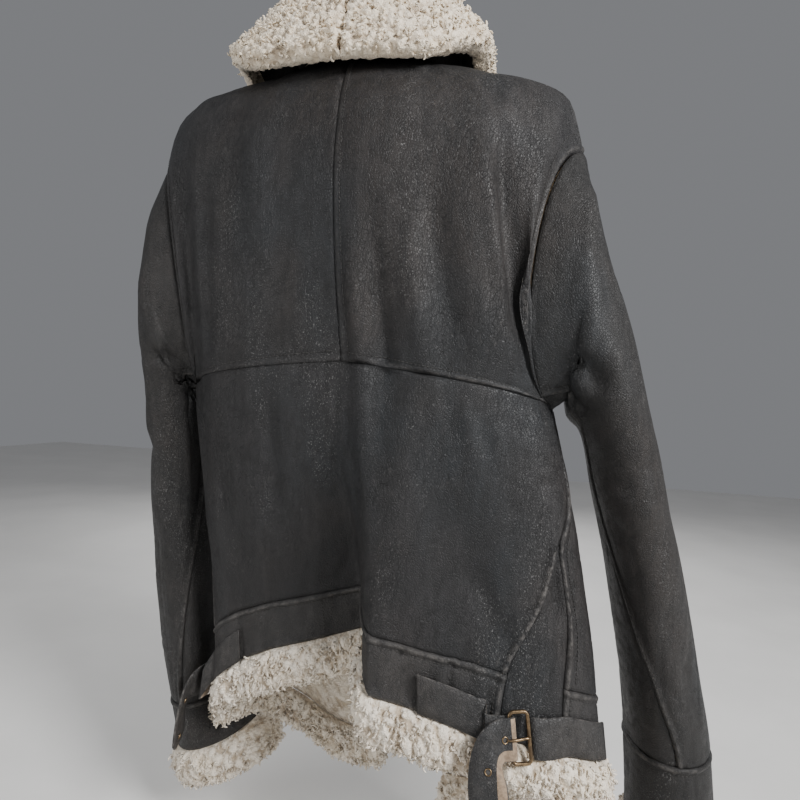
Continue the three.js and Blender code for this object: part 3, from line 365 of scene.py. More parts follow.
# Pleats down the back's hem band: where, how wide and how deep
PLEATS = (
    (-0.74, 0.03, 0.003), (-0.62, 0.022, 0.0035), (-0.5, 0.03, 0.002),
    (0.42, 0.03, 0.003), (0.6, 0.025, 0.0025),
)
# The outer grid and the normals of each panel, for its thread
STITCHED = {}
LEATHER_SHINE = 0.34
LEATHER_BUMP = (0.75, 0.0009)
# Width, length and area of each panel as it is cut
CUTS = {
    "back_yoke_left": (0.322, 0.404, 0.0848),
    "back_yoke_right": (0.322, 0.411, 0.0822),
    "lower_back": (0.484, 0.291, 0.1183),
    "hem_band_back": (0.440, 0.061, 0.0223),
    "side_gusset_right": (0.062, 0.190, 0.0072),
    "side_gusset_left": (0.049, 0.215, 0.0056),
    "front_right": (0.344, 0.763, 0.1677),
    "hem_band_right": (0.338, 0.082, 0.0223),
    "front_left": (0.345, 0.733, 0.1384),
    "hem_band_left": (0.211, 0.076, 0.0132),
    "sleeve_top_right": (0.511, 0.662, 0.1470),
    "sleeve_under_right": (0.153, 0.520, 0.0509),
    "cuff_right": (0.333, 0.093, 0.0298),
    "sleeve_top_left": (0.498, 0.667, 0.1347),
    "sleeve_under_left": (0.142, 0.503, 0.0472),
    "cuff_left": (0.334, 0.068, 0.0183),
}


# Points and curves
def lerp(a, b, t):
    return a + (b - a) * t


def smooth(t):
    c = min(1.0, max(0.0, t))
    return c * c * (3 - 2 * c)


def bell(x):
    return math.exp(-x * x)


def read(table, key, column, at):
    """A column of a table read between its rows, with no overshoot."""
    n = len(table)

    def slope(i):
        return (table[i + 1][column] - table[i][column]) / (table[i + 1][key] - table[i][key])

    def bend(i):
        if i == 0:
            return slope(0)
        if i == n - 1:
            return slope(n - 2)
        a, b = slope(i - 1), slope(i)
        return 0 if a * b <= 0 else 2 * a * b / (a + b)

    i = 0
    while i < n - 2 and at > table[i + 1][key]:
        i += 1
    low, high = table[i], table[i + 1]
    h = high[key] - low[key]
    t = (at - low[key]) / h
    if t <= 0:
        return low[column] + bend(i) * (at - low[key])
    if t >= 1:
        return high[column] + bend(i + 1) * (at - high[key])
    t2, t3 = t * t, t * t * t
    return (
        low[column] * (2 * t3 - 3 * t2 + 1)
        + high[column] * (3 * t2 - 2 * t3)
        + h * (bend(i) * (t3 - 2 * t2 + t) + bend(i + 1) * (t3 - t2))
    )


def read_point(table, key, at, names=("x", "y", "z")):
    return Vector([read(table, key, name, at) for name in names])


def between(a, b, c, d, t):
    """A point from b to c on a smooth line through four even points."""
    return (
        b + (c - a) * 0.5 * t + (a - 2.5 * b + 2 * c - 0.5 * d) * t * t
        + (1.5 * b - 0.5 * a - 1.5 * c + 0.5 * d) * t * t * t
    )


# The body below the cross seam
@lru_cache(maxsize=None)
def section(w):
    names = ("leftX", "leftY", "rightX", "rightY", "backX", "backY", "edgeLX", "edgeRX", "edgeLY", "edgeRY")
    return {name: read(SECTIONS, "w", name, w) for name in names}


def trough_share(u):
    if u <= TROUGH["from"]:
        return 0
    if u < TROUGH["floor"]:
        return smooth((u - TROUGH["from"]) / (TROUGH["floor"] - TROUGH["from"]))
    return 0 if u >= 1 else ((1 - u) / (1 - TROUGH["floor"])) ** 0.85


def lower_level(u, row):
    side = row["left"] if u >= 0 else row["right"]
    edge = row["edgeL"] if u >= 0 else row["edgeR"]
    a = abs(u)
    if a <= 1:
        return lerp(row["back"], side, a ** row["rise"])
    low, high = FRONT_DROP["L" if u >= 0 else "R"]
    start = smooth(-low / (high - low))
    return lerp(side, edge, (smooth((a - 1 - low) / (high - low)) - start) / (1 - start))


def soft_fold(u, w):
    depth = 0
    for fold in FOLDS:
        near = (u - fold["u"]) / fold["width"]
        if abs(near) < 1:
            down = smooth((w - fold["top"]) / 0.25) * smooth((fold["bottom"] - w) / 0.1)
            depth += fold["depth"] * (1 - near * near) ** 2 * down
    return depth


def lower_point(u, w):
    left, a, at = u >= 0, abs(u), section(w)
    side_x = at["leftX"] if left else at["rightX"]
    side_y = at["leftY"] if left else at["rightY"]
    turn = (math.pi / 2) * (a if a <= 1 else 2 - a)
    across = max(0.0, math.sin(turn)) ** SQUARE
    deep = max(0.0, math.cos(turn)) ** SQUARE
    z = lerp(lower_level(u, LEVELS[0]), lower_level(u, LEVELS[1]), w - 1)
    if a > 1:
        edge_x = at["edgeLX"] if left else at["edgeRX"]
        edge_y = at["edgeLY"] if left else at["edgeRY"]
        return Vector((lerp(edge_x, side_x, across), lerp(side_y, edge_y, deep) - soft_fold(u, w), z))
    grow = smooth((w - TROUGH["start"]) / 1.1) ** 0.8
    share = trough_share(u) * grow
    near = smooth((u - TROUGH["from"]) / 0.13) * (1 - smooth((u - 0.07) / 0.3))
    return Vector((
        lerp(at["backX"], side_x, across) - TROUGH["undercut"] * grow * near,
        lerp(side_y, at["backY"], deep) - TROUGH["depth"] * share + soft_fold(u, w),
        z + TROUGH["lift"] * share * (w - 1),
    ))


# The body above the cross seam
@lru_cache(maxsize=None)
def armhole(sign, front, w):
    top = Vector((SHOULDER_TIP[0] * sign, SHOULDER_TIP[1], SHOULDER_TIP[2]))
    p = top.lerp(lower_point(sign, 1), (1 - math.cos(math.pi * w)) / 2)
    around = math.sin(math.pi * w)
    inward = 0.020 if sign > 0 else 0.038
    return Vector((p.x - sign * inward * around, p.y + (-0.060 if front else 0.058) * around, p.z))


@lru_cache(maxsize=None)
def top_edge(sign, front, s):
    neck = NECK_FRONT if front else NECK_BACK
    if s <= neck:
        p = read_point(FRONT_NECK if front else BACK_NECK, "s", s)
    else:
        p = read_point(SHOULDER, "s", (s - neck) / (1 - neck))
    return Vector((p.x * sign, p.y, p.z))


@lru_cache(maxsize=None)
def middle_edge(sign, front, w):
    if front:
        return read_point(FRONT_EDGE, "w", w, ("leftX" if sign > 0 else "rightX", "y", "z"))
    return read_point(CENTRE_BACK, "w", w)


@lru_cache(maxsize=None)
def cross_edge(sign, front, s):
    return lower_point(sign * (2 - s) if front else sign * s, 1)


def upper_point(sign, front, s, w):
    a, e = middle_edge(sign, front, w), armhole(sign, front, w)
    t, k = top_edge(sign, front, s), cross_edge(sign, front, s)
    a0, a1 = middle_edge(sign, front, 0), middle_edge(sign, front, 1)
    e0, e1 = armhole(sign, front, 0), armhole(sign, front, 1)

    def blend(i, h, g):
        return (
            (1 - h) * a[i] + h * e[i]
            + (1 - g) * (t[i] - (1 - h) * a0[i] - h * e0[i])
            + g * (k[i] - (1 - h) * a1[i] - h * e1[i])
        )

    bow = 1 - max(0.0, math.cos((math.pi / 2) * s)) ** SQUARE
    crown = 1 - (1 - w) ** (lerp(3, 10, smooth((s - 0.2) / 0.3)) if front else 10)
    fold = soft_fold(sign * (2 - s) if front else sign * s, w) * math.sin(math.pi * w)
    return Vector((blend(0, s, w), blend(1, bow, crown) + (-fold if front else fold), blend(2, s, w)))


def body_point(u, w):
    if w >= 1:
        return lower_point(u, w)
    a, sign = abs(u), 1 if u >= 0 else -1
    return upper_point(sign, a > 1, a if a <= 1 else 2 - a, w)


def body_normal(u, w):
    d = 0.012
    u0, u1 = max(-2, u - d), min(2, u + d)
    across = body_point(u1, w) - body_point(u0, w)
    down = body_point(u, min(2, w + d)) - body_point(u, max(0, w - d))
    return across.cross(down).normalized()


def seam_at(w, name):
    if w < APEX:
        return read(SIDE_SEAM, "w", name[-1], w)
    return read(GUSSET_SEAMS, "w", name, w)


# Sleeves. The angle runs from 0 at the top through 90 at the back and 180 at the bottom
def sleeve_turn(angle, seam):
    if angle <= BACK_SEAM:
        return angle / BACK_SEAM * seam
    if angle <= FRONT_SEAM:
        return lerp(seam, FRONT_SEAM, (angle - BACK_SEAM) / (FRONT_SEAM - BACK_SEAM))
    return angle


@lru_cache(maxsize=None)
def sleeve_row(sign, t):
    table = SLEEVE_L if sign > 0 else SLEEVE_R
    return {name: read(table, "t", name, t) for name in table[0]}


def sleeve_inside(sign, t, angle):
    if t < 1:
        w = angle / 180 if angle <= 180 else (360 - angle) / 180
        start = armhole(sign, angle > 180, w) + Vector((sign * SLEEVE_GAP, 0, 0.0004 * w))
        return start.lerp(sleeve_inside(sign, 1, angle), t)
    row = sleeve_row(sign, t)
    turn = math.radians(sleeve_turn(angle, row["seam"]))
    c = (1 + math.cos(turn)) / 2
    return Vector((
        sign * lerp(row["inX"], row["outX"], c),
        row["midY"] + row["half"] * math.sin(turn),
        lerp(row["inZ"], row["outZ"], c),
    ))


def sleeve_grid(sign, ts, angles, wrap=False):
    """The leather side. It lies a wall's thickness outside the table's wool side."""
    grid = [[sleeve_inside(sign, t, a % 360) for a in angles] for t in ts]
    turned = grid_normals(grid, -sign, wrap)
    return [
        [p + n * WALL * min(1, t / 2) for p, n in zip(line, normals)]
        for t, line, normals in zip(ts, grid, turned)
    ]


# Collar: a curve through knots, from the neck over the fold to the free edge
def curve_through(knots, count):
    """Evenly spaced points on a smooth curve through the knots."""
    ends = [2 * knots[0] - knots[1], *knots, 2 * knots[-1] - knots[-2]]
    fine = [knots[0]]
    for a, b, c, d in zip(ends, ends[1:], ends[2:], ends[3:]):
        before, span, after = [max(1e-4, (q - p).length ** 0.5) for p, q in ((a, b), (b, c), (c, d))]
        start = ((b - a) / before - (c - a) / (before + span) + (c - b) / span) * span
        end = ((c - b) / span - (d - b) / (span + after) + (d - c) / after) * span
        for k in range(1, 25):
            t = k / 24
            fine.append(
                b + start * t + (3 * (c - b) - 2 * start - end) * t * t
                + (2 * (b - c) + start + end) * t * t * t
            )
    return at_shares(fine, [k / (count - 1) for k in range(count)])


def at_shares(points, shares):
    """Points at these shares of a line's length."""
    return along_line(points, reach_along(points), shares, Vector.lerp)


def along_line(values, reach, shares, blend):
    """Values read at these shares of the reach."""
    result, i = [], 0
    for share in shares:
        want = share * reach[-1]
        while i < len(values) - 2 and reach[i + 1] < want:
            i += 1
        span = reach[i + 1] - reach[i]
        result.append(blend(values[i], values[i + 1], (want - reach[i]) / span if span > 0 else 0))
    return result


def collar_line(sign, q, count):
    if q <= 0.5:
        neck = read_point(BACK_NECK, "s", q / 0.5 * NECK_BACK)
    else:
        neck = read_point(FRONT_NECK, "s", (1 - q) / 0.5 * NECK_FRONT)
    top = read_point(COLLAR_ROWS, "q", q, ("topX", "topY", "topZ"))
    edge = read_point(COLLAR_ROWS, "q", q, ("edgeX", "edgeY", "edgeZ"))
    edge.x += COLLAR_SPREAD["L" if sign > 0 else "R"] * smooth(q / 0.4)
    start = neck + Vector((0, 0, 0.0012))
    out = Vector((edge.x - start.x, edge.y - start.y, 0)).normalized()
    up = Vector((0, 0, 1))
    knots = [
        start,
        start.lerp(top, 0.5),
        top - out * 0.003 - up * 0.009,
        top + out * 0.002,
        top + out * 0.008 - up * 0.008,
        top.lerp(edge, 0.5) + out * 0.003,
        edge,
    ]
    return [Vector((p.x * sign, p.y, p.z)) for p in curve_through(knots, count)]


# Grids of points into meshes
def grid_normals(grid, way=1, wrap=False):
    count, width = len(grid), len(grid[0])
    result = []
    for r in range(count):
        up, low = grid[max(0, r - 1)], grid[min(count - 1, r + 1)]
        line = []
        for c in range(width):
            if wrap:
                before, after = grid[r][c - 1], grid[r][(c + 1) % width]
            else:
                before, after = grid[r][max(0, c - 1)], grid[r][min(width - 1, c + 1)]
            line.append(((after - before).cross(low[c] - up[c]) * way).normalized())
        result.append(line)
    return result


def reach_along(points):
    total, result = 0.0, [0.0]
    for a, b in zip(points, points[1:]):
        total += (b - a).length
        result.append(total)
    return result


def spaced(length, pitch):
    """Shares from 0 to 1 along a length, close together near both ends."""
    ends = [f for f in EDGE_STEPS if f < length * 0.4]
    start = ends[-1]
    count = max(1, round((length - 2 * start) / pitch))
    middle = [start + (length - 2 * start) * k / count for k in range(1, count)]
    return [x / length for x in [*ends, *middle, *[length - e for e in reversed(ends)]]]


def even(line, low, high, pitch, fine=True):
    """Values from low to high at which a line's points are evenly spaced."""
    probes = [lerp(low, high, k / 160) for k in range(161)]
    reach = reach_along([line(v) for v in probes])
    length = reach[-1]
    if fine:
        shares = spaced(length, pitch)
    else:
        count = max(2, round(length / pitch))
        shares = [k / count for k in range(count + 1)]
    return along_line(probes, reach, shares, lerp)


def relief(distance, kind):
    """How far a seam's edge stands out, and how worn it is. A number is the strength of a turned edge."""
    rise = settings().seam_rise
    if kind == "under":
        return -0.6 * rise * bell(distance / 0.0024), 0
    if kind == "hem":
        swell = 0.4 * rise * bell((distance - 0.004) / 0.003)
        return swell - 0.5 * rise * bell(distance / 0.001), 0.8 * bell(distance / 0.002)
    height = (
        rise * kind * bell((distance - 0.0034) / 0.0027)
        - rise * (0.3 + 0.35 * kind) * bell(distance / 0.0009)
        - 0.45 * rise * kind * bell((distance - 0.0080) / 0.0013)
    )
    return height, kind ** 1.6 * bell((distance - 0.0030) / 0.0018)


def search_tree(points):
    tree = kdtree.KDTree(len(points))
    for i, p in enumerate(points):
        tree.insert(p, i)
    tree.balance()
    return tree


@lru_cache(maxsize=None)
def crease_points():
    """Points along every crease: a search tree, and what each point knows of its crease."""
    spots, count = [], 30
    for c in CREASES + SLEEVE_CREASES:
        line = []
        for k in range(count + 1):
            if "side" in c:
                angle = lerp(c["angle"], c["angle2"], k / count)
                line.append(sleeve_inside(c["side"], lerp(c["t"], c["t2"], k / count), angle))
            else:
                line.append(body_point(lerp(c["u"], c["u2"], k / count), lerp(c["w"], c["w2"], k / count)))
        reach = reach_along(line)
        for k, p in enumerate(line):
            run = (line[min(count, k + 1)] - line[max(0, k - 1)]).normalized()
            spots.append((id(c), p, run, reach[k], reach[-1], c["wide"], c["depth"]))
    return search_tree([spot[1] for spot in spots]), spots


def crease_height(p, n):
    """Rise of the creases near a point. Each one fades out towards both of its ends."""
    tree, spots = crease_points()
    nearest = {}
    for q, i, distance in tree.find_range(p, CREASE_REACH):
        crease = spots[i][0]
        if crease not in nearest or distance < nearest[crease][0]:
            nearest[crease] = (distance, i)
    total = 0.0
    for distance, i in nearest.values():
        q, run, at, length, wide, depth = spots[i][1:]
        away = p - q
        away -= n * away.dot(n)
        along = away.dot(run)
        aside = (away - run * along).length
        share = (at + along) / length
        ends = smooth(min(share, 1 - share) / 0.3)
        total += CREASE_SCALE * depth * ends * bell(aside / wide) * smooth((CREASE_REACH - distance) / 0.02)
    return total


def wrinkle(p, creased):
    """Soft uneven hang of the leather, with upright creases where it is creased."""
    hang = noise.noise(Vector((p.x * 21, p.y * 21, p.z * 3.2))) * 0.0024
    soft = noise.noise(Vector((p.x * 12, p.y * 12 + 5, p.z * 9))) * 0.0016
    small = noise.noise(Vector((p.x * 44, p.y * 44, p.z * 15 + 7))) * 0.0008
    upright = abs(noise.noise(Vector((p.x * 34, p.y * 34, p.z * 5 + 3))))
    lying = abs(noise.noise(Vector((p.x * 16 + 9, p.y * 16, p.z * 38))))
    patchy = smooth(noise.noise(p * 9 + Vector((4, 4, 4))) * 1.4 + 0.5)
    lines = 0.0019 * bell(upright / 0.07) + 0.0010 * bell(lying / 0.06)
    return hang + soft + small - creased * patchy * lines


def fleece_height(p, cell, tall=1.0):
    """Curls as uneven domes of two sizes, from 0 in the hollows to 1 on the crowns."""
    at = Vector((p.x, p.y, p.z * tall))
    bent = at + noise.noise_vector(at * 130) * 0.0024
    large = noise.voronoi(bent / cell)[0]
    small = noise.voronoi(bent / (cell * 0.42) + Vector((3, 7, 1)))[0]
    dome = 1 - min(1, large[0] / 0.75) ** 2
    bead = 1 - min(1, small[0] / 0.75) ** 2
    split = smooth((large[1] - large[0]) / 0.3)
    return min(1.0, max(0.0, 0.42 * dome + 0.24 * split + 0.34 * bead))


def make_mesh(name, vertices, faces, materials, kinds=None, fields=None):
    mesh = bpy.data.meshes.new(name)
    mesh.from_pydata([tuple(v) for v in vertices], [], faces)
    for material in materials:
        mesh.materials.append(material)
    if kinds:
        mesh.polygons.foreach_set("material_index", kinds)
    for field, values in (fields or {}).items():
        layer = mesh.attributes.new(field, "FLOAT", "POINT")
        layer.data.foreach_set("value", values)
    mesh.shade_smooth()
    mesh.update()
    thing = bpy.data.objects.new(name, mesh)
    bpy.context.scene.collection.objects.link(thing)
    return thing


def on_frame(thing, nodes=(), body="jacket"):
    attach(thing, body)
    if nodes:
        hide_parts(*nodes)
    return thing


def two_sided(name, outer, inner, way, wrap, materials, fields, same):
    """A closed mesh from an outer and an inner grid, joined round their rims.

    Where same(r, c) holds, the inner side has the outer side's material.
    """
    count, width = len(outer), len(outer[0])
    size = count * width
    faces, kinds = [], []

    def at(layer, r, c):
        return layer * size + r * width + c % width

    def add(a, b, c, d, kind):
        faces.append((a, b, c, d) if way > 0 else (d, c, b, a))
        kinds.append(kind)

    spans = width if wrap else width - 1
    for r in range(count - 1):
        for c in range(spans):
            add(at(0, r, c), at(0, r, c + 1), at(0, r + 1, c + 1), at(0, r + 1, c), 0)
            inner_kind = 0 if same(r, c) else 1
            add(at(1, r, c), at(1, r + 1, c), at(1, r + 1, c + 1), at(1, r, c + 1), inner_kind)
    last = count - 1
    for c in range(spans):
        add(at(0, 0, c), at(1, 0, c), at(1, 0, c + 1), at(0, 0, c + 1), 0)
        add(at(0, last, c), at(0, last, c + 1), at(1, last, c + 1), at(1, last, c), 0)
    if not wrap:
        end = width - 1
        for r in range(count - 1):
            add(at(0, r, 0), at(0, r + 1, 0), at(1, r + 1, 0), at(1, r, 0), 0)
            add(at(0, r, end), at(1, r, end), at(1, r + 1, end), at(0, r + 1, end), 0)
    vertices = [p for grid in (outer, inner) for line in grid for p in line]
    return make_mesh(name, vertices, faces, materials, kinds, fields)


@lru_cache(maxsize=None)
def armhole_ring():
    """The four quarter rings of the armholes: a search tree of points, and the wall's direction at each."""
    spots = []
    for sign in (-1, 1):
        top, bottom = Vector((SHOULDER_TIP[0] * sign, *SHOULDER_TIP[1:])), lower_point(sign, 1)
        middle = top.lerp(bottom, 0.5)
        for front in (False, True):
            for k in range(81):
                w = k / 80
                p = armhole(sign, front, w)
                wide = 0.025 * (1 + math.cos(math.pi * w)) + 0.110 * smooth((w - 0.7) / 0.3)
                away = Vector((sign * wide, (p.y - middle.y) * 2.1, p.z - middle.z))
                spots.append((p, away.normalized()))
    return search_tree([p for p, n in spots]), [n for p, n in spots]


def wall_direction(p, n):
    """The wall's direction. At the armhole it is the same for the pieces that meet there."""
    tree, directions = armhole_ring()
    _, i, distance = tree.find(p)
    return n.lerp(directions[i], smooth(1 - distance / 0.035)).normalized()


def from_armpit(p):
    return (p - lower_point(1 if p.x > 0 else -1, 1)).length


def thinning(p):
    """The wall thins into the armpits, where five pieces meet."""
    return 1 - 0.8 * smooth(1 - from_armpit(p) / 0.11)


def panel(name, grid, edges, way=1, wrap=False, creased=0.0, skin="Leather"):
    """A leather panel with its clipped wool side. edges says what each side of it is."""
    count, width = len(grid), len(grid[0])
    normals = grid_normals(grid, way, wrap)
    down = [reach_along([grid[r][c] for r in range(count)]) for c in range(width)]
    outer, inner, wear, depth = [], [], [], []
    for r in range(count):
        along = reach_along(grid[r])
        outer_line, inner_line = [], []
        for c in range(width):
            spots = [("top", down[c][r]), ("bottom", down[c][-1] - down[c][r])]
            if not wrap:
                spots += [("left", along[c]), ("right", along[-1] - along[c])]
            height, worn, near = 0.0, 0.0, 1.0
            for side, distance in spots:
                kind = edges.get(side)
                if callable(kind):
                    kind = kind(r / (count - 1) if side in ("left", "right") else c / (width - 1))
                if kind:
                    rise, rub = relief(distance, kind)
                    height += rise
                    worn = max(worn, rub)
                near = min(near, distance / 0.006)
            p, n = grid[r][c], normals[r][c]
            calm = smooth(near)
            crease = crease_height(p, n) * calm
            height += crease + wrinkle(p, creased) * (0.4 + 0.6 * calm)
            curls = fleece_height(p, settings().curl_size)
            thick = (WALL - LEATHER) * thinning(p)
            outer_line.append(p + n * height)
            deep = LEATHER * thinning(p) + thick * (0.4 + 0.6 * curls * calm)
            inner_line.append(p + n * min(0.0, crease) - wall_direction(p, n) * deep)
            wear.append(worn)
            depth.append(curls)
        outer.append(outer_line)
        inner.append(inner_line)
    size = count * width
    # The depth field is the curls' height; the wool material paints shade into its hollows.
    fields = {"wear": wear + [0.0] * size, "depth": [0.5] * size + depth}
    kinds = [leather(skin), wool("Wool")]
    bare = BARE["sleeve" if name.startswith("sleeve") else "other"]

    def no_wool(r, c):
        return from_armpit(grid[r][c]) < bare

    thing = two_sided(name, outer, inner, way, wrap, kinds, fields, no_wool)
    on_frame(thing, [name])
    STITCHED[name] = (outer, normals)
    wide, long, area = CUTS[name]
    return thing


# Tubes, bars and ribbons
def tube_faces(start, rings, sides, closed=False):
    faces = []
    for r in range(rings if closed else rings - 1):
        for k in range(sides):
            a, b = start + r * sides + k, start + r * sides + (k + 1) % sides
            n = start + (r + 1) % rings * sides
            faces.append((a, b, n + (k + 1) % sides, n + k))
    if not closed:
        faces.append(tuple(start + k for k in reversed(range(sides))))
        faces.append(tuple(start + (rings - 1) * sides + k for k in range(sides)))
    return faces


def add_tube(vertices, faces, path, radii, sides, closed=False):
    """A tube along a path, added to a growing mesh."""
    start, count = len(vertices), len(path)
    side = Vector((0.31, 0.72, 0.62))
    for i, p in enumerate(path):
        if closed:
            run = path[(i + 1) % count] - path[i - 1]
        else:
            run = path[min(count - 1, i + 1)] - path[max(0, i - 1)]
        run.normalize()
        side = (side - run * side.dot(run)).normalized()
        other = run.cross(side)
        for k in range(sides):
            a = 2 * math.pi * (k + 0.5) / sides
            vertices.append(p + (side * math.cos(a) + other * math.sin(a)) * radii[i])
    faces.extend(tube_faces(start, count, sides, closed))


def add_ribbon(vertices, faces, stations, half, thick, corner=0.0008):
    """A flat strap with rounded sides through stations of middle, across and outward."""
    start = len(vertices)
    h, t = half - corner, thick / 2
    outline = [
        (-h, -t), (-h / 2, -t), (0, -t), (h / 2, -t), (h, -t), (half, -t + corner), (half, t - corner),
        (h, t), (h / 2, t), (0, t), (-h / 2, t), (-h, t), (-half, t - corner), (-half, -t + corner),
    ]
    for middle, across, out, slim in stations:
        for a, b in outline:
            vertices.append(middle + across * a * slim + out * b)
    faces.extend(tube_faces(start, len(stations), len(outline)))


# Settings
class JacketSettings(bpy.types.PropertyGroup):
    """Sizes that the pieces of the jacket share."""

    pitch: FloatProperty(
        name="Leather Pitch", description="Spacing of the leather's points", default=0.0048, unit="LENGTH"
    )
    wool_pitch: FloatProperty(
        name="Wool Pitch", description="Spacing of the wool's points", default=0.0022, unit="LENGTH"
    )
    seam_rise: FloatProperty(
        name="Seam Rise", description="Height of a turned seam edge", default=0.0020, unit="LENGTH"
    )
    curl_size: FloatProperty(
        name="Curl Size", description="Width of one curl of wool", default=0.0088, unit="LENGTH"
    )
    curl_height: FloatProperty(
        name="Curl Height", description="Height of the curls", default=0.0062, unit="LENGTH"
    )
    lock_length: FloatProperty(
        name="Lock Length", description="Length of a loose lock of wool", default=0.009, unit="LENGTH"
    )
    seed: IntProperty(name="Seed", description="Start of the scattered locks", default=4)


class StudioSettings(bpy.types.PropertyGroup):
    """Lights, floor and lens."""

    key_power: FloatProperty(
        name="Key Power", description="Power of the main soft light", default=78.0, unit="POWER"
    )
    fill_power: FloatProperty(
        name="Fill Power", description="Power of the weaker soft light", default=16.0, unit="POWER"
    )
    sky: FloatProperty(name="Sky", description="Strength of the even light all round", default=0.22)
    lens: FloatProperty(name="Lens", description="Focal length in millimetres", default=26.0)


def settings():
    return bpy.context.scene.jacket_settings


# Shader graphs
class Graph:
    """Short ways to add shader nodes and join them."""

    def __init__(self, tree):
        self.tree = tree

    def put(self, socket, value):
        if isinstance(value, bpy.types.NodeSocket):
            self.tree.links.new(value, socket)
        else:
            socket.default_value = value

    def add(self, kind, inputs=None, **attributes):
        node = self.tree.nodes.new("ShaderNode" + kind)
        for name, value in attributes.items():
            setattr(node, name, value)
        for name, value in (inputs or {}).items():
            self.put(node.inputs[name], value)
        return node

    def math(self, operation, a, b=0.0, c=0.0):
        node = self.add("Math", operation=operation)
        for socket, value in zip(node.inputs, (a, b, c)):
            self.put(socket, value)
        return node.outputs[0]

    def step(self, value, low, high, start=0.0, end=1.0):
        """Eases from start to end as the value goes from low to high."""
        inputs = {"Value": value, "From Min": low, "From Max": high, "To Min": start, "To Max": end}
        return self.add("MapRange", inputs, interpolation_type="SMOOTHSTEP").outputs["Result"]

    def mix(self, share, a, b):
        node = self.add("Mix", data_type="RGBA")
        for index, value in ((0, share), (6, a), (7, b)):
            self.put(node.inputs[index], value)
        return node.outputs[2]

    def stretched(self, coords, scale):
        node = self.add("VectorMath", operation="MULTIPLY")
        self.put(node.inputs[0], coords)
        self.put(node.inputs[1], scale)
        return node.outputs[0]

    def noise(self, coords, scale, detail=3.0, rough=0.55):
        inputs = {"Vector": coords, "Scale": scale, "Detail": detail, "Roughness": rough}
        return self.add("TexNoise", inputs).outputs["Fac"]

    def warped(self, coords, scale, amount):
        colour = self.add("TexNoise", {"Vector": coords, "Scale": scale, "Detail": 2.0}).outputs["Color"]
        node = self.add("VectorMath", operation="MULTIPLY_ADD")
        self.put(node.inputs[0], colour)
        self.put(node.inputs[1], (amount, amount, amount))
        self.put(node.inputs[2], coords)
        return node.outputs[0]

    def cells(self, coords, scale, feature="DISTANCE_TO_EDGE"):
        inputs = {"Vector": coords, "Scale": scale}
        return self.add("TexVoronoi", inputs, feature=feature).outputs["Distance"]


SOCKETS = {"value": "NodeSocketFloat", "colour": "NodeSocketColor"}


def new_group(name, inputs, outputs):
    tree = bpy.data.node_groups.new(name, "ShaderNodeTree")
    for label, kind, value in inputs:
        socket = tree.interface.new_socket(label, in_out="INPUT", socket_type=SOCKETS[kind])
        socket.default_value = value
    for label, kind in outputs:
        tree.interface.new_socket(label, in_out="OUTPUT", socket_type=SOCKETS[kind])
    graph = Graph(tree)
    start = tree.nodes.new("NodeGroupInput")
    end = tree.nodes.new("NodeGroupOutput")
    coords = graph.add("TexCoord").outputs["Object"]
    return tree, graph, start.outputs, end.inputs, coords


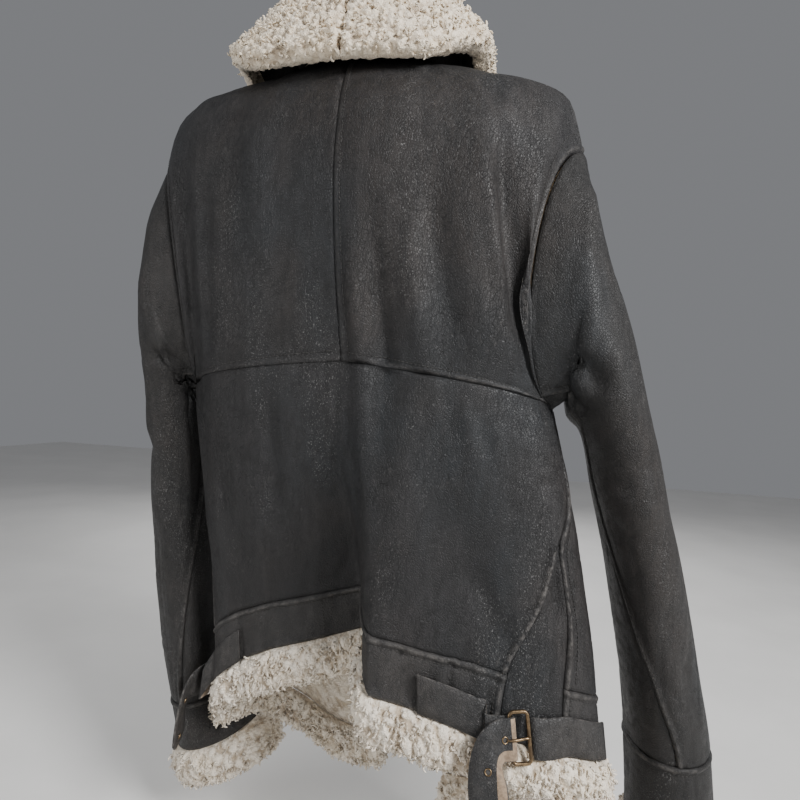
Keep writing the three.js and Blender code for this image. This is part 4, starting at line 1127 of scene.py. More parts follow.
@lru_cache(maxsize=None)
def leather_group():
    """Pebbled grain, crackle, brown and grey tints, worn seam edges, and painted glint highlights."""
    tree, g, given, out, coords = new_group(
        "Worn Leather",
        [
            ("Dark", "colour", (0.0075, 0.0072, 0.0076, 1)),
            ("Light", "colour", (0.030, 0.0285, 0.0295, 1)),
            ("Brown", "colour", (0.034, 0.028, 0.025, 1)),
            ("Blue", "colour", (0.0150, 0.0182, 0.0212, 1)),
            ("Glint Highlight", "colour", (0.24, 0.235, 0.23, 1)),
            ("Worn", "colour", (0.13, 0.12, 0.112, 1)),
            ("Wear", "value", 0.0),
            ("Crackle", "value", 0.8),
        ],
        [("Color", "colour"), ("Roughness", "value"), ("Height", "value")],
    )
    bent = g.warped(coords, 110.0, 0.004)
    pebble = g.step(g.cells(bent, 400.0), 0.0, 0.16)
    upright = g.stretched(g.warped(coords, 30.0, 0.02), (1.0, 1.0, 0.36))
    crack = g.step(g.cells(upright, 230.0), 0.0, 0.05, 1.0, 0.0)
    hair = g.step(g.cells(g.stretched(bent, (1.0, 1.0, 0.6)), 210.0), 0.0, 0.08, 1.0, 0.0)
    patch = g.step(g.noise(coords, 11.0, 5.0), 0.40, 0.62)
    crack = g.math("MULTIPLY", g.math("MULTIPLY", crack, patch), given["Crackle"])
    hair = g.math("MULTIPLY", hair, g.step(g.noise(coords, 23.0, 4.0), 0.38, 0.6))
    tone = g.step(g.noise(g.stretched(coords, (1.0, 1.0, 0.3)), 15.0, 6.0, 0.6), 0.34, 0.66)
    mottle = g.step(g.noise(bent, 95.0, 4.0, 0.7), 0.36, 0.68)
    tone = g.math("MULTIPLY_ADD", tone, 0.55, g.math("MULTIPLY", mottle, 0.45))
    colour = g.mix(tone, given["Dark"], given["Light"])
    brown = g.math("MULTIPLY", g.step(g.noise(coords, 5.0, 4.0), 0.44, 0.64), 0.5)
    colour = g.mix(brown, colour, given["Brown"])
    blue = g.step(g.noise(g.stretched(coords, (1.0, 1.0, 0.5)), 7.5, 3.0), 0.5, 0.68)
    colour = g.mix(g.math("MULTIPLY", blue, 0.6), colour, given["Blue"])
    streak = g.step(g.noise(g.stretched(bent, (1.0, 1.0, 0.22)), 150.0, 3.0), 0.36, 0.62, 0.5, 0.0)
    colour = g.mix(streak, colour, given["Dark"])
    rubbed = g.step(g.noise(g.stretched(bent, (1.0, 1.0, 0.5)), 170.0, 3.0, 0.7), 0.56, 0.74)
    rubbed = g.math("MULTIPLY", g.math("MULTIPLY", rubbed, patch), 0.4)
    colour = g.mix(rubbed, colour, (0.085, 0.08, 0.077, 1))
    colour = g.mix(g.math("MULTIPLY", hair, 0.45), colour, given["Dark"])
    colour = g.mix(g.math("MULTIPLY", crack, 0.5), colour, (0.006, 0.006, 0.0065, 1))
    # Painted highlight: small light specks in patches stand in for the grain's specular glints.
    glint = g.step(g.noise(g.stretched(bent, (1.0, 1.0, 0.6)), 820.0, 2.0, 0.6), 0.57, 0.72)
    area = g.step(g.noise(g.stretched(coords, (1.0, 1.0, 0.3)), 17.0, 5.0), 0.47, 0.66)
    colour = g.mix(g.math("MULTIPLY", g.math("MULTIPLY", glint, area), 0.55), colour, given["Glint Highlight"])
    colour = g.mix(g.step(pebble, 0.0, 0.7, 0.4, 0.0), colour, (0.008, 0.008, 0.008, 1))
    worn = g.math("MULTIPLY", given["Wear"], g.step(g.noise(bent, 120.0, 5.0, 0.7), 0.40, 0.62))
    colour = g.mix(g.math("MULTIPLY", worn, 0.75), colour, given["Worn"])
    g.put(out["Color"], colour)
    g.put(out["Roughness"], g.step(g.math("ADD", mottle, crack), 0.0, 1.6, 0.50, 0.78))
    low = g.math("MULTIPLY_ADD", crack, -0.9, g.math("MULTIPLY", hair, -0.35))
    high = g.math("MULTIPLY_ADD", pebble, 0.42, g.math("MULTIPLY", mottle, 0.25))
    g.put(out["Height"], g.math("ADD", high, low))
    return tree


@lru_cache(maxsize=None)
def fleece_group():
    """Cream wool, with painted shade in the hollows between the curls and among its fine fibres."""
    tree, g, given, out, coords = new_group(
        "Curly Wool",
        [
            ("Crown", "colour", (0.90, 0.82, 0.70, 1)),
            ("Hollow Shade", "colour", (0.47, 0.38, 0.28, 1)),
            ("Tint", "colour", (0.80, 0.69, 0.53, 1)),
            ("Depth", "value", 0.5),
        ],
        [("Color", "colour"), ("Height", "value")],
    )
    bent = g.warped(coords, 190.0, 0.005)
    fibre = g.noise(g.stretched(bent, (1.0, 1.0, 0.6)), 900.0, 3.0, 0.7)
    curl = g.step(g.cells(bent, 330.0, "F1"), 0.0, 0.75, 1.0, 0.0)
    # Painted shade: where the curls' depth and the cells are low, the colour goes to the hollow shade.
    share = g.math("MULTIPLY_ADD", given["Depth"], 1.25, g.math("MULTIPLY_ADD", curl, 0.35, -0.22))
    colour = g.mix(g.step(share, 0.0, 0.85), given["Hollow Shade"], given["Crown"])
    tint = g.math("MULTIPLY", g.step(g.noise(coords, 28.0, 4.0), 0.42, 0.7), 0.45)
    colour = g.mix(tint, colour, given["Tint"])
    # Painted shade among the fine fibres.
    colour = g.mix(g.step(fibre, 0.3, 0.5, 0.28, 0.0), colour, given["Hollow Shade"])
    g.put(out["Color"], colour)
    g.put(out["Height"], g.math("MULTIPLY_ADD", curl, 0.7, g.math("MULTIPLY", fibre, 0.5)))
    return tree


@lru_cache(maxsize=None)
def metal_group():
    """Two tones with tarnish, fine scratches and a rubbed roughness."""
    tree, g, given, out, coords = new_group(
        "Tarnished Metal",
        [
            ("Bright", "colour", (0.5, 0.5, 0.5, 1)),
            ("Dull", "colour", (0.2, 0.2, 0.2, 1)),
            ("Tarnish", "value", 0.5),
        ],
        [("Color", "colour"), ("Roughness", "value"), ("Height", "value")],
    )
    spots = g.step(g.noise(coords, 160.0, 5.0, 0.65), 0.36, 0.66)
    scratches = g.noise(g.stretched(coords, (1.0, 1.0, 7.0)), 420.0, 2.0)
    share = g.math("MULTIPLY", spots, given["Tarnish"])
    g.put(out["Color"], g.mix(share, given["Bright"], given["Dull"]))
    rubbed = g.math("MULTIPLY_ADD", scratches, 0.15, 0.2)
    g.put(out["Roughness"], g.math("MULTIPLY_ADD", share, 0.3, rubbed))
    g.put(out["Height"], g.math("MULTIPLY_ADD", spots, -0.4, g.math("MULTIPLY", scratches, 0.3)))
    return tree


@lru_cache(maxsize=None)
def fibre_group():
    """Thread, cloth tape, suede or varnished wood: streaks along one direction."""
    tree, g, given, out, coords = new_group(
        "Fibres",
        [
            ("First", "colour", (0.1, 0.1, 0.1, 1)),
            ("Second", "colour", (0.2, 0.2, 0.2, 1)),
            ("Scale", "value", 300.0),
            ("Stretch", "value", 0.2),
        ],
        [("Color", "colour"), ("Roughness", "value"), ("Height", "value")],
    )
    direction = g.add("CombineXYZ", {"X": given["Stretch"], "Y": 1.0, "Z": 1.0}).outputs[0]
    streak = g.noise(g.stretched(coords, direction), given["Scale"], 5.0, 0.65)
    share = g.step(streak, 0.3, 0.7)
    g.put(out["Color"], g.mix(share, given["First"], given["Second"]))
    g.put(out["Roughness"], g.math("MULTIPLY_ADD", share, 0.15, 0.6))
    g.put(out["Height"], streak)
    return tree


def new_material(name, tree, values, bump, field=None, **uniform):
    """A Principled material fed by one node group."""
    material = bpy.data.materials.new(name)
    material.use_nodes = True
    g = Graph(material.node_tree)
    shader = material.node_tree.nodes["Principled BSDF"]
    for label, value in uniform.items():
        shader.inputs[label.replace("_", " ")].default_value = value
    group = g.add("Group", node_tree=tree)
    for label, value in values.items():
        group.inputs[label].default_value = value
    if field:
        label, attribute = field
        g.put(group.inputs[label], g.add("Attribute", attribute_name=attribute).outputs["Fac"])
    g.put(shader.inputs["Base Color"], group.outputs["Color"])
    if "Roughness" in group.outputs:
        g.put(shader.inputs["Roughness"], group.outputs["Roughness"])
    strength, distance = bump
    bumped = g.add("Bump", {"Strength": strength, "Distance": distance, "Height": group.outputs["Height"]})
    g.put(shader.inputs["Normal"], bumped.outputs["Normal"])
    material.diffuse_color = (0.4, 0.4, 0.4, 1)
    return material


# What each leather and each wool changes in its node group
LEATHERS = {
    "Leather": {},
    "Sleeve Leather": {
        "Dark": (0.009, 0.0085, 0.0083, 1), "Light": (0.033, 0.031, 0.0298, 1), "Crackle": 0.6,
    },
    "Band Leather": {
        "Dark": (0.017, 0.0162, 0.016, 1), "Light": (0.062, 0.058, 0.056, 1), "Crackle": 0.5,
    },
}
WOOLS = {
    "Wool": {},
    "Collar Wool": {"Crown": (0.90, 0.79, 0.63, 1), "Tint": (0.82, 0.68, 0.49, 1)},
}
# Two colours, scale and stretch of the streaks, strength and depth of the bump, and what is even
FIBRES = {
    "Suede": ((0.17, 0.115, 0.072), (0.33, 0.24, 0.16), 260.0, 0.8, (0.4, 0.0005), {"Sheen_Weight": 0.3}),
    "Thread": ((0.018, 0.017, 0.017), (0.06, 0.056, 0.052), 900.0, 0.3, (0.4, 0.0002), {}),
    "Zip Cloth": ((0.008, 0.008, 0.008), (0.03, 0.029, 0.029), 700.0, 0.2, (0.5, 0.0003), {}),
    "Varnished Wood": (
        (0.20, 0.105, 0.05), (0.36, 0.22, 0.12), 60.0, 0.06, (0.15, 0.0003),
        {"Coat_Weight": 0.5, "Coat_Roughness": 0.15},
    ),
    "Pale Floor": ((0.72, 0.71, 0.69), (0.76, 0.75, 0.73), 4.0, 1.0, (0.05, 0.0002), {}),
}
# Bright and dull colours, share of tarnish, strength and depth of the bump
METALS = {
    "Aged Brass": ((0.30, 0.21, 0.12), (0.07, 0.05, 0.035), 0.85, (0.5, 0.0003)),
    "Satin Steel": ((0.56, 0.55, 0.53), (0.24, 0.23, 0.22), 0.5, (0.3, 0.0002)),
}


@lru_cache(maxsize=None)
def leather(name):
    uniform = {"Specular_IOR_Level": LEATHER_SHINE}
    return new_material(name, leather_group(), LEATHERS[name], LEATHER_BUMP, ("Wear", "wear"), **uniform)


@lru_cache(maxsize=None)
def wool(name):
    uniform = {"Roughness": 0.92, "Sheen_Weight": 0.25, "Sheen_Roughness": 0.5, "Specular_IOR_Level": 0.2}
    return new_material(name, fleece_group(), WOOLS[name], (0.8, 0.0016), ("Depth", "depth"), **uniform)


@lru_cache(maxsize=None)
def fibres(name):
    first, second, scale, stretch, bump, uniform = FIBRES[name]
    values = {"First": (*first, 1), "Second": (*second, 1), "Scale": scale, "Stretch": stretch}
    return new_material(name, fibre_group(), values, bump, **uniform)


@lru_cache(maxsize=None)
def metal(name):
    bright, dull, tarnish, bump = METALS[name]
    values = {"Bright": (*bright, 1), "Dull": (*dull, 1), "Tarnish": tarnish}
    return new_material(name, metal_group(), values, bump, Metallic=1.0)


# Points of the panels, by a share across and the height w
def back_point(k, w):
    return body_point(k * seam_at(w, "backR" if k < 0 else "backL"), w)


def gusset_point(sign, k, w):
    side = "R" if sign < 0 else "L"
    start = seam_at(w, "back" + side)
    return body_point(sign * lerp(start, max(seam_at(w, "front" + side), start + GUSSET_POINT), k), w)


def front_point(sign, s, w):
    if w < 1:
        return upper_point(sign, True, s, w)
    side = "R" if sign < 0 else "L"
    edge = seam_at(w, "front" + side)
    if w >= APEX:
        edge = max(edge, seam_at(w, "back" + side) + GUSSET_POINT)
    return body_point(sign * lerp(2, edge, s), w)


def grid_of(point, across, down, columns_at, rows_at):
    """A grid of points, evenly spaced along one row and one column of the panel."""
    pitch = settings().pitch
    columns = even(lambda k: point(k, columns_at), *across, pitch)
    levels = even(lambda w: point(rows_at, w), *down, pitch)
    return [[point(k, w) for k in columns] for w in levels]


def below_apex(top, bottom):
    """The back lies over the gusset, and under the front above the gusset's point."""
    return lambda share: 1.0 if lerp(top, bottom, share) > APEX else "under"


def lobed_back(k, w):
    """The right lobe of the back swells beside the trough, and pleats run down the hem band."""
    p = back_point(k, w)
    down = smooth((w - 1.0) / 0.35)
    swell = 0.0045 * bell((k + 0.12) / 0.1) * down
    swell -= 0.0035 * bell((k - 0.14) / 0.09) * smooth((w - 1) / 0.5)
    band = smooth((w - 1.78) / 0.08)
    pleat = sum(deep * bell((k - at) / wide) for at, wide, deep in PLEATS) * band
    return p + Vector((0, swell - pleat, 0))


def dress_back():
    grid = grid_of(body_point, (0, 1), (0, 1), 0.8, 0.5)
    panel("back_yoke_left", grid, {"top": 0.4, "left": "under", "right": 0.6, "bottom": 0.3}, creased=0.25)
    grid = grid_of(body_point, (-1, 0), (0, 1), 0.8, -0.5)
    edges = {"top": 0.4, "left": 0.7, "right": 0.3, "bottom": lambda share: 0.9 - 0.55 * share}
    panel("back_yoke_right", grid, edges, creased=0.25)
    beside = below_apex(1, BAND_TOP)
    grid = grid_of(lobed_back, (-1, 1), (1 - SEAM_LAP, BAND_TOP), 1.8, -0.4)
    edges = {"top": "under", "bottom": "under", "left": beside, "right": beside}
    panel("lower_back", grid, edges, creased=1.0)
    grid = grid_of(lobed_back, (-1, 1), (BAND_TOP, 2), 1.9, -0.4)
    edges = {"top": 0.8, "bottom": "hem", "left": 0.8, "right": 0.8}
    panel("hem_band_back", grid, edges, creased=1.2, skin="Band Leather")
    for name, sign in SIDES:
        grid = grid_of(lambda k, w: gusset_point(sign, k, w), (0, 1), (APEX, 2), 1.9, 0.5)
        edges = {"left": "under", "right": "under", "bottom": "hem"}
        panel("side_gusset_" + name, grid, edges, sign, creased=0.6)


def dress_fronts():
    for name, sign in SIDES:
        def point(s, w):
            return front_point(sign, s, w)

        sides = {"left": "hem", "right": 0.9}
        grid = grid_of(point, (0, 1), (0, BAND_TOP), 1.3, 0.5)
        panel("front_" + name, grid, {"top": "under", "bottom": "under", **sides}, -sign, creased=0.5)
        grid = grid_of(point, (0, 1), (BAND_TOP, 2), 1.9, 0.5)
        edges = {"top": 0.7, "bottom": "hem", **sides}
        panel("hem_band_" + name, grid, edges, -sign, creased=0.6, skin="Band Leather")


def dress_sleeves():
    pitch = settings().pitch
    for name, sign in SIDES:
        levels = even(lambda t: sleeve_inside(sign, t, 90), 0, 10, pitch)

        def around(a):
            return sleeve_inside(sign, 3, a % 360)

        for part, low, high, kind in (
            ("sleeve_top_", FRONT_SEAM, 360 + BACK_SEAM, 0.7),
            ("sleeve_under_", BACK_SEAM, FRONT_SEAM, "under"),
        ):
            grid = sleeve_grid(sign, levels, even(around, low, high, pitch))
            edges = {"top": "under", "bottom": "under", "left": kind, "right": kind}
            panel(part + name, grid, edges, -sign, creased=0.7, skin="Sleeve Leather")
        angles = even(around, 0, 360, pitch, fine=False)[:-1]
        ends = even(lambda t: sleeve_inside(sign, t, 90), 10, 11, pitch)
        grid = sleeve_grid(sign, ends, angles, wrap=True)
        panel("cuff_" + name, grid, {"top": 0.8, "bottom": "hem"}, -sign, True, 0.5, "Sleeve Leather")


# Wool
def rounded(distance, radius):
    """From 0 at an edge to 1 inside it, along a quarter circle."""
    k = min(1.0, max(0.0, distance / radius))
    return math.sqrt(1 - (1 - k) ** 2)


def closed_curve(points, count):
    """Evenly spaced points on a smooth closed curve."""
    n, fine = len(points), []
    for i in range(n):
        a, b, c, d = [points[(i + k) % n] for k in (-1, 0, 1, 2)]
        fine += [between(a, b, c, d, k / 16) for k in range(16)]
    fine.append(fine[0])
    return at_shares(fine, [k / count for k in range(count)])


def curl(p, cell, tall):
    """Rise of the wool's surface, and its depth shade."""
    height = fleece_height(p, cell, tall)
    return (height - 0.45) * settings().curl_height, height


def add_locks(vertices, faces, depth, spots, pull, long, swirl):
    """Loose curled locks of wool lying on the surface."""
    scatter = Random(settings().seed + len(spots))
    for p, n, shade in spots:
        reach = long * scatter.uniform(0.45, 1.15)
        away = (n * 0.6 + pull + Vector([scatter.uniform(-0.6, 0.6) for _ in range(3)])).normalized()
        side = away.cross(Vector((0.3, 0.5, 0.8))).normalized()
        other = away.cross(side)
        twist, turn = scatter.uniform(0, 6.28), scatter.choice((-1, 1)) * scatter.uniform(2.5, 5.5)
        wide = reach * swirl * scatter.uniform(0.5, 1.0)
        path = []
        for k in range(5):
            a = twist + turn * k / 4
            swing = side * (math.cos(a) - math.cos(twist)) + other * (math.sin(a) - math.sin(twist))
            path.append(p + away * reach * (k / 4) ** 0.9 * (1 - 0.12 * k / 4) + swing * wide)
        thick = scatter.uniform(0.0010, 0.0018)
        before = len(vertices)
        add_tube(vertices, faces, path, [thick * f for f in LOCK_TAPER], 3)
        tone = min(1.0, shade * 0.6 + scatter.uniform(0.3, 0.5))
        depth.extend([tone] * (len(vertices) - before))


def locks_piece(name, spots, pull, long, swirl, material):
    vertices, faces, depth = [], [], []
    add_locks(vertices, faces, depth, spots, pull, long, swirl)
    thing = make_mesh(name, vertices, faces, [material], None, {"depth": depth})
    return on_frame(thing)


def wool_roll(name, stations, closed, cell, tall, share):
    """A roll of curly wool along an edge. A station is a point, outward and down."""
    pitch = settings().wool_pitch
    outline = closed_curve([Vector(p) for p in WOOL_OUTLINE], round(OUTLINE_REACH / pitch))
    middle = Vector((-0.004, 0.024))
    reach = reach_along([p for p, n, d in stations])
    rings = []
    for (p, n, d), at in zip(stations, reach):
        scale = 1 if closed else 0.25 + 0.75 * rounded(min(at, reach[-1] - at) + 0.0002, 0.011)
        rings.append([p + n * q.x + d * q.y for q in (middle.lerp(q, scale) for q in outline)])
    normals = grid_normals(rings, 1, True)
    centre = sum(rings[0], Vector()) / len(rings[0])
    way = 1 if normals[0][20].dot(rings[0][20] - centre) > 0 else -1
    count, width = len(rings), len(outline)
    vertices, depth, spots = [], [], []
    scatter = Random(7)
    for ring, line in zip(rings, normals):
        for q, p, n in zip(outline, ring, line):
            rise, height = curl(p, cell, tall)
            free = smooth((q.y - 0.0005) / 0.005)
            vertices.append(p + n * way * rise * free)
            depth.append(height)
            if scatter.random() < share * free:
                spots.append((p + n * way * rise * 0.6, n * way, height))
    faces = []
    for r in range(count if closed else count - 1):
        for c in range(width):
            a, b = r * width + c, r * width + (c + 1) % width
            n = (r + 1) % count * width
            quad = (a, b, n + (c + 1) % width, n + c)
            faces.append(quad if way > 0 else quad[::-1])
    if not closed:
        first, last = tuple(range(width)), tuple(range((count - 1) * width, count * width))
        faces += [first[::-1], last] if way > 0 else [first, last[::-1]]
    thing = make_mesh(name, vertices, faces, [wool("Wool")], None, {"depth": depth})
    on_frame(thing, [name])
    pull, long = Vector((0, 0, -0.9)), settings().lock_length * 0.66
    locks_piece(name + "_locks", spots, pull, long, 0.34, wool("Wool"))


def hem_station(u):
    p = body_point(u, 2)
    down = (p - body_point(u, 1.9)).normalized()
    return p, body_normal(u, 2), (down + Vector((0, 0, -1))).normalized()


def dress_hem_wool():
    pitch = settings().wool_pitch
    for name, low, high in (("back", -0.37, 0.9), ("right", -2, -0.37), ("left", 0.9, 2)):
        inset = 0.0015
        places = even(lambda u: body_point(u, 2), low + inset, high - inset, pitch, fine=False)
        wool_roll("hem_wool_" + name, [hem_station(u) for u in places], False, *HEM_CURLS)


def dress_cuff_wool():
    pitch = settings().wool_pitch
    for name, sign in SIDES:
        angles = even(lambda a: sleeve_inside(sign, 11, a % 360), 0, 360, pitch, fine=False)[:-1]
        grid = sleeve_grid(sign, [10, 10.5, 11], angles, wrap=True)
        normals = grid_normals(grid, -sign, True)[-1]
        stations = []
        for upper, p, n in zip(grid[0], grid[-1], normals):
            d = (p - upper).normalized()
            stations.append((p - d * 0.0006, n, d))
        wool_roll("cuff_wool_" + name, stations, True, *CUFF_CURLS)


def dress_collar():
    """Each half: a wool side out, and a leather side under the fold."""
    pitch = settings().wool_pitch
    for name, sign in SIDES:
        count = round(COLLAR_REACH / pitch)
        shares = even(lambda q: collar_line(sign, q, 12)[-1], 0, 1, pitch, fine=False)
        skin = [collar_line(sign, q, count) for q in shares]
        normals = grid_normals(skin, sign)
        along = [reach_along([line[c] for line in skin]) for c in range(count)]
        facing = 1 if normals[0][-4].y > 0 else -1
        crown, under, woolly = [], [], set()
        for r, line in enumerate(skin):
            reach = reach_along(line)
            upper, lower = [], []
            for c, p in enumerate(line):
                n = normals[r][c] * facing
                edge = min(reach[-1] - reach[c], along[c][-1] - along[c][r])
                round_off = rounded(edge + 0.0001, 0.011) * rounded(along[c][r] + 0.0012, 0.008)
                upper.append(p + n * (0.0005 + (COLLAR_WOOL - 0.0005) * round_off))
                tuck = bell((edge - 0.006) / 0.010)
                wrap = fleece_height(p, settings().curl_size)
                full = 0.0085 + 0.006 * bell((shares[r] - 0.5) / 0.16)
                lower.append(p - n * (full * tuck * rounded(edge, 0.006) * (0.6 + 0.5 * wrap)))
                if edge < 0.020:
                    woolly.add((r, c))
            crown.append(upper)
            under.append(lower)
        face = grid_normals(crown, sign * facing)
        outer, depth, wear, spots = [], [], [], []
        scatter = Random(11)
        for r, line in enumerate(crown):
            moved = []
            for c, p in enumerate(line):
                rise, height = curl(p, settings().curl_size, 1.0)
                free = smooth(c / 6)
                moved.append(p + face[r][c] * rise * free)
                depth.append(height)
                if scatter.random() < COLLAR_LOCKS * free:
                    spots.append((p + face[r][c] * rise * 0.6, face[r][c], height))
            outer.append(moved)
        fields = {"depth": depth + [0.45] * len(depth), "wear": [0.0] * 2 * len(depth)}
        piece = "collar_" + name
        kinds = [wool("Collar Wool"), leather("Leather")]
        way = sign * facing
        thing = two_sided(piece, outer, under, way, False, kinds, fields, lambda r, c: (r, c) in woolly)
        on_frame(thing, [piece])
        pull, long = Vector((0, 0, -0.5)), settings().lock_length * 0.6
        locks_piece(piece + "_locks", spots, pull, long, 0.35, wool("Collar Wool"))


# Adjusters
def adjuster_seat(sign, u, dip):
    p = body_point(sign * u, STRAP_W)
    n = body_normal(sign * u, STRAP_W)
    down = (body_point(sign * u, 2) - body_point(sign * u, 1.9)).normalized()
    across = (down + n * dip * 20).normalized()
    out = (n - across * n.dot(across)).normalized()
    return p + n * (0.0022 + dip * 0.4) + down * dip, across, out


def refine(stations, times=5):
    """More stations along a strap, on a smooth line through the given ones."""
    result, n = [], len(stations)
    for i in range(n - 1):
        a, b, c, d = [stations[min(n - 1, max(0, i + k))] for k in (-1, 0, 1, 2)]
        for k in range(times if i < n - 2 else times + 1):
            t = k / times
            p = between(a[0], b[0], c[0], d[0], t)
            across = b[1].lerp(c[1], t).normalized()
            out = b[2].lerp(c[2], t)
            result.append((p, across, (out - across * out.dot(across)).normalized(), lerp(b[3], c[3], t)))
    return result


def strap_stations(sign, at):
    seat, across, out = adjuster_seat(sign, at["buckle"], 0.009)
    along = (out * sign).cross(across).normalized()
    down = along.cross(out * sign).normalized()
    middle = seat - out * 0.0022

    def place(a, o, d):
        return middle + along * a + out * o + down * d

    line = []
    for k in range(7):
        t = k / 6
        p, side, face = adjuster_seat(sign, lerp(at["sewn"], at["join"], t), 0.006 * smooth(t))
        line.append([p, side, face, 1.0])
    for row in TAIL_PATH:
        side = (along * row["ax"] + out * row["ox"] + down * row["dx"]).normalized()
        line.append([place(row["a"], row["o"], row["d"]), side, None, 1.0])
    for d, slim in ((at["tail"] - 0.008, 1.0), (at["tail"], 0.55)):
        line.append([place(0.033, 0.0205, d), (along * -0.94 + out * 0.33).normalized(), None, slim])
    for i, station in enumerate(line):
        if station[2] is None:
            run = line[min(len(line) - 1, i + 1)][0] - line[i - 1][0]
            station[2] = (run.cross(station[1]) * sign).normalized()
    return line, place


def strap_piece(name, stations, slot_nodes, turned=0):
    """A strap with a leather face, a suede back and rubbed edges. The hanging end turns its leather out."""
    vertices, faces, sides = [], [], 14
    add_ribbon(vertices, faces, stations, STRAP_WIDE / 2, STRAP_THICK)
    kinds = []
    for k in range(len(faces)):
        column, back = k % sides, k % sides < 4
        if turned and k // sides >= turned:
            kinds.append(0 if column in (0, 1, 2) or 3 < column < 7 or column > 10 else 1)
        else:
            kinds.append(1 if back and k < (len(stations) - 1) * sides else 0)
    wear = [1.0 if k % sides in (5, 6, 12, 13) else 0.15 for k in range(len(vertices))]
    materials = [leather("Band Leather"), fibres("Suede")]
    thing = make_mesh(name, vertices, faces, materials, kinds, {"wear": wear})
    return on_frame(thing, slot_nodes)


def add_eyelets(name, stations):
    """Rings on both faces of the strap and its tail, with a dark disc of painted shade in each where the
    hole would be.
    """
    vertices, faces, shade_dots, shade_dot_faces = [], [], [], []
    for share in EYELET_SHARES:
        p, across, face = stations[round(share * (len(stations) - 1))][:3]
        run = across.cross(face)
        for side in (1, -1):
            spokes = []
            for k in range(16):
                a = k * math.pi / 8
                spokes.append((across * math.cos(a) + run * math.sin(a)) * EYELET_RADIUS)
            # A dark disc inside the ring is painted shade standing in for the hole.
            rim = p + face * side * STRAP_THICK * 0.55
            disc = p + face * side * STRAP_THICK * 0.56
            add_tube(vertices, faces, [rim + spoke for spoke in spokes], [EYELET_BAR] * 16, 6, closed=True)
            shade_dot_faces.append(tuple(range(len(shade_dots), len(shade_dots) + 16)))
            shade_dots += [disc + spoke * 0.8 for spoke in spokes]
    on_frame(make_mesh("eyelets_" + name, vertices, faces, [metal("Aged Brass")]))
    on_frame(make_mesh("eyelet_hole_shade_" + name, shade_dots, shade_dot_faces, [fibres("Thread")]))


def dress_adjusters():
    for at in ADJUSTERS:
        name, sign = at["name"], at["sign"]
        line, place = strap_stations(sign, at)
        stations = refine(line)
        strap_piece("adjuster_strap_" + name, stations, ["adjuster_strap_" + name], at["turned"])
        keeper = []
        for k in range(28):
            t = k / 27
            seat = adjuster_seat(sign, lerp(at["keeper"], at["end"], t), 0.008 * (1 - smooth(t * 3)))
            keeper.append((*seat, 1 - 0.2 * smooth((t - 0.9) / 0.1)))
        strap_piece("buckle_tab_" + name, keeper, ["buckle_tab_" + name])
        # The frame, a bent closed bar, and the prong across it
        vertices, faces = [], []
        bar = []
        for sx, sy, start in ((1, 1, 0), (-1, 1, 90), (-1, -1, 180), (1, -1, 270)):
            for turn in (0, 18, 36, 54, 72, 90):
                a = math.radians(start + turn)
                x = sx * (BUCKLE_HALF_ALONG - BUCKLE_CORNER) + BUCKLE_CORNER * math.cos(a)
                y = sy * (BUCKLE_HALF_DOWN - BUCKLE_CORNER) + BUCKLE_CORNER * math.sin(a)
                bar.append(place(x, BUCKLE_OUT, y))
        add_tube(vertices, faces, bar, [BUCKLE_BAR] * len(bar), 10, closed=True)
        prong = [place(a, o, 0) for a, o in PRONG]
        add_tube(vertices, faces, at_shares(prong, [k / 9 for k in range(10)]), PRONG_RADII, 8)
        thing = make_mesh("buckle_" + name, vertices, faces, [metal("Aged Brass")])
        on_frame(thing, ["buckle_" + name])
        add_eyelets(name, stations)


# Zip
def zip_frame(sign, w):
    p, n = body_point(sign * 2, w), body_normal(sign * 2, w)
    down = (body_point(sign * 2, min(2, w + 0.02)) - body_point(sign * 2, w - 0.02)).normalized()
    across = n.cross(down).normalized()
    e = across if across.dot(p - body_point(sign * 1.97, w)) > 0 else -across
    face = e.cross(e.cross(down.cross(e)).normalized())
    return p, (face if face.dot(n) > 0 else -face), e


def dress_zip():
    for name, sign in reversed(SIDES):
        places = even(lambda w: body_point(sign * 2, w), 0.04, 2, TEETH_STEP, fine=False)
        vertices, faces, tape_stations = [], [], []
        for w in places:
            p, n, e = zip_frame(sign, w)
            middle = p + e * (0.0005 + ZIP_WIDE / 2) - n * (0.001 + ZIP_THICK / 2)
            tape_stations.append((middle, e, n, 1.0))
            if w > LEFT_TEETH_END and sign > 0:
                continue
            tooth = middle + e * (ZIP_WIDE / 2 - 0.0014)
            bar = [tooth - e * 0.0018, tooth - e * 0.0006, tooth + e * 0.0008, tooth + e * 0.0016]
            add_tube(vertices, faces, bar, [0.0007, 0.0010, 0.0008, 0.0010], 5)
        on_frame(make_mesh("zip_teeth_" + name, vertices, faces, [metal("Satin Steel")]))
        vertices, faces = [], []
        add_ribbon(vertices, faces, tape_stations, ZIP_WIDE / 2, 0.0011, 0.0003)
        tape_name = "zip_tape_" + name
        on_frame(make_mesh(tape_name, vertices, faces, [fibres("Zip Cloth")]), [tape_name])
    for node in ("zip_slider", "zip_pull_tab"):
        paint(node, metal("Satin Steel"))


def paint(node, material):
    """A CAD node whose shape is right keeps it and takes a material."""
    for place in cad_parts[node].material_slots:
        place.material = material


def dress_hanger():
    paint("hanger", fibres("Varnished Wood"))
    paint("hanger_hook", metal("Satin Steel"))


# Thread along the turned edges
def stitch_lines():
    """Pairs of points and outward directions along each panel's groove."""
    for name, edges in STITCH_EDGES.items():
        grid, normals = STITCHED[name]
        for edge in edges:
            column = {"left": STITCH_COLUMN, "right": -1 - STITCH_COLUMN}.get(edge)
            if isinstance(edge, float):
                middle, seam = grid[len(grid) // 2], body_point(edge, 1.91)
                column = min(range(len(middle)), key=lambda c: (middle[c] - seam).length)
            if column is None:
                row = STITCH_COLUMN if edge == "top" else -1 - STITCH_COLUMN
                yield grid[row], normals[row]
            else:
                yield [line[column] for line in grid], [line[column] for line in normals]


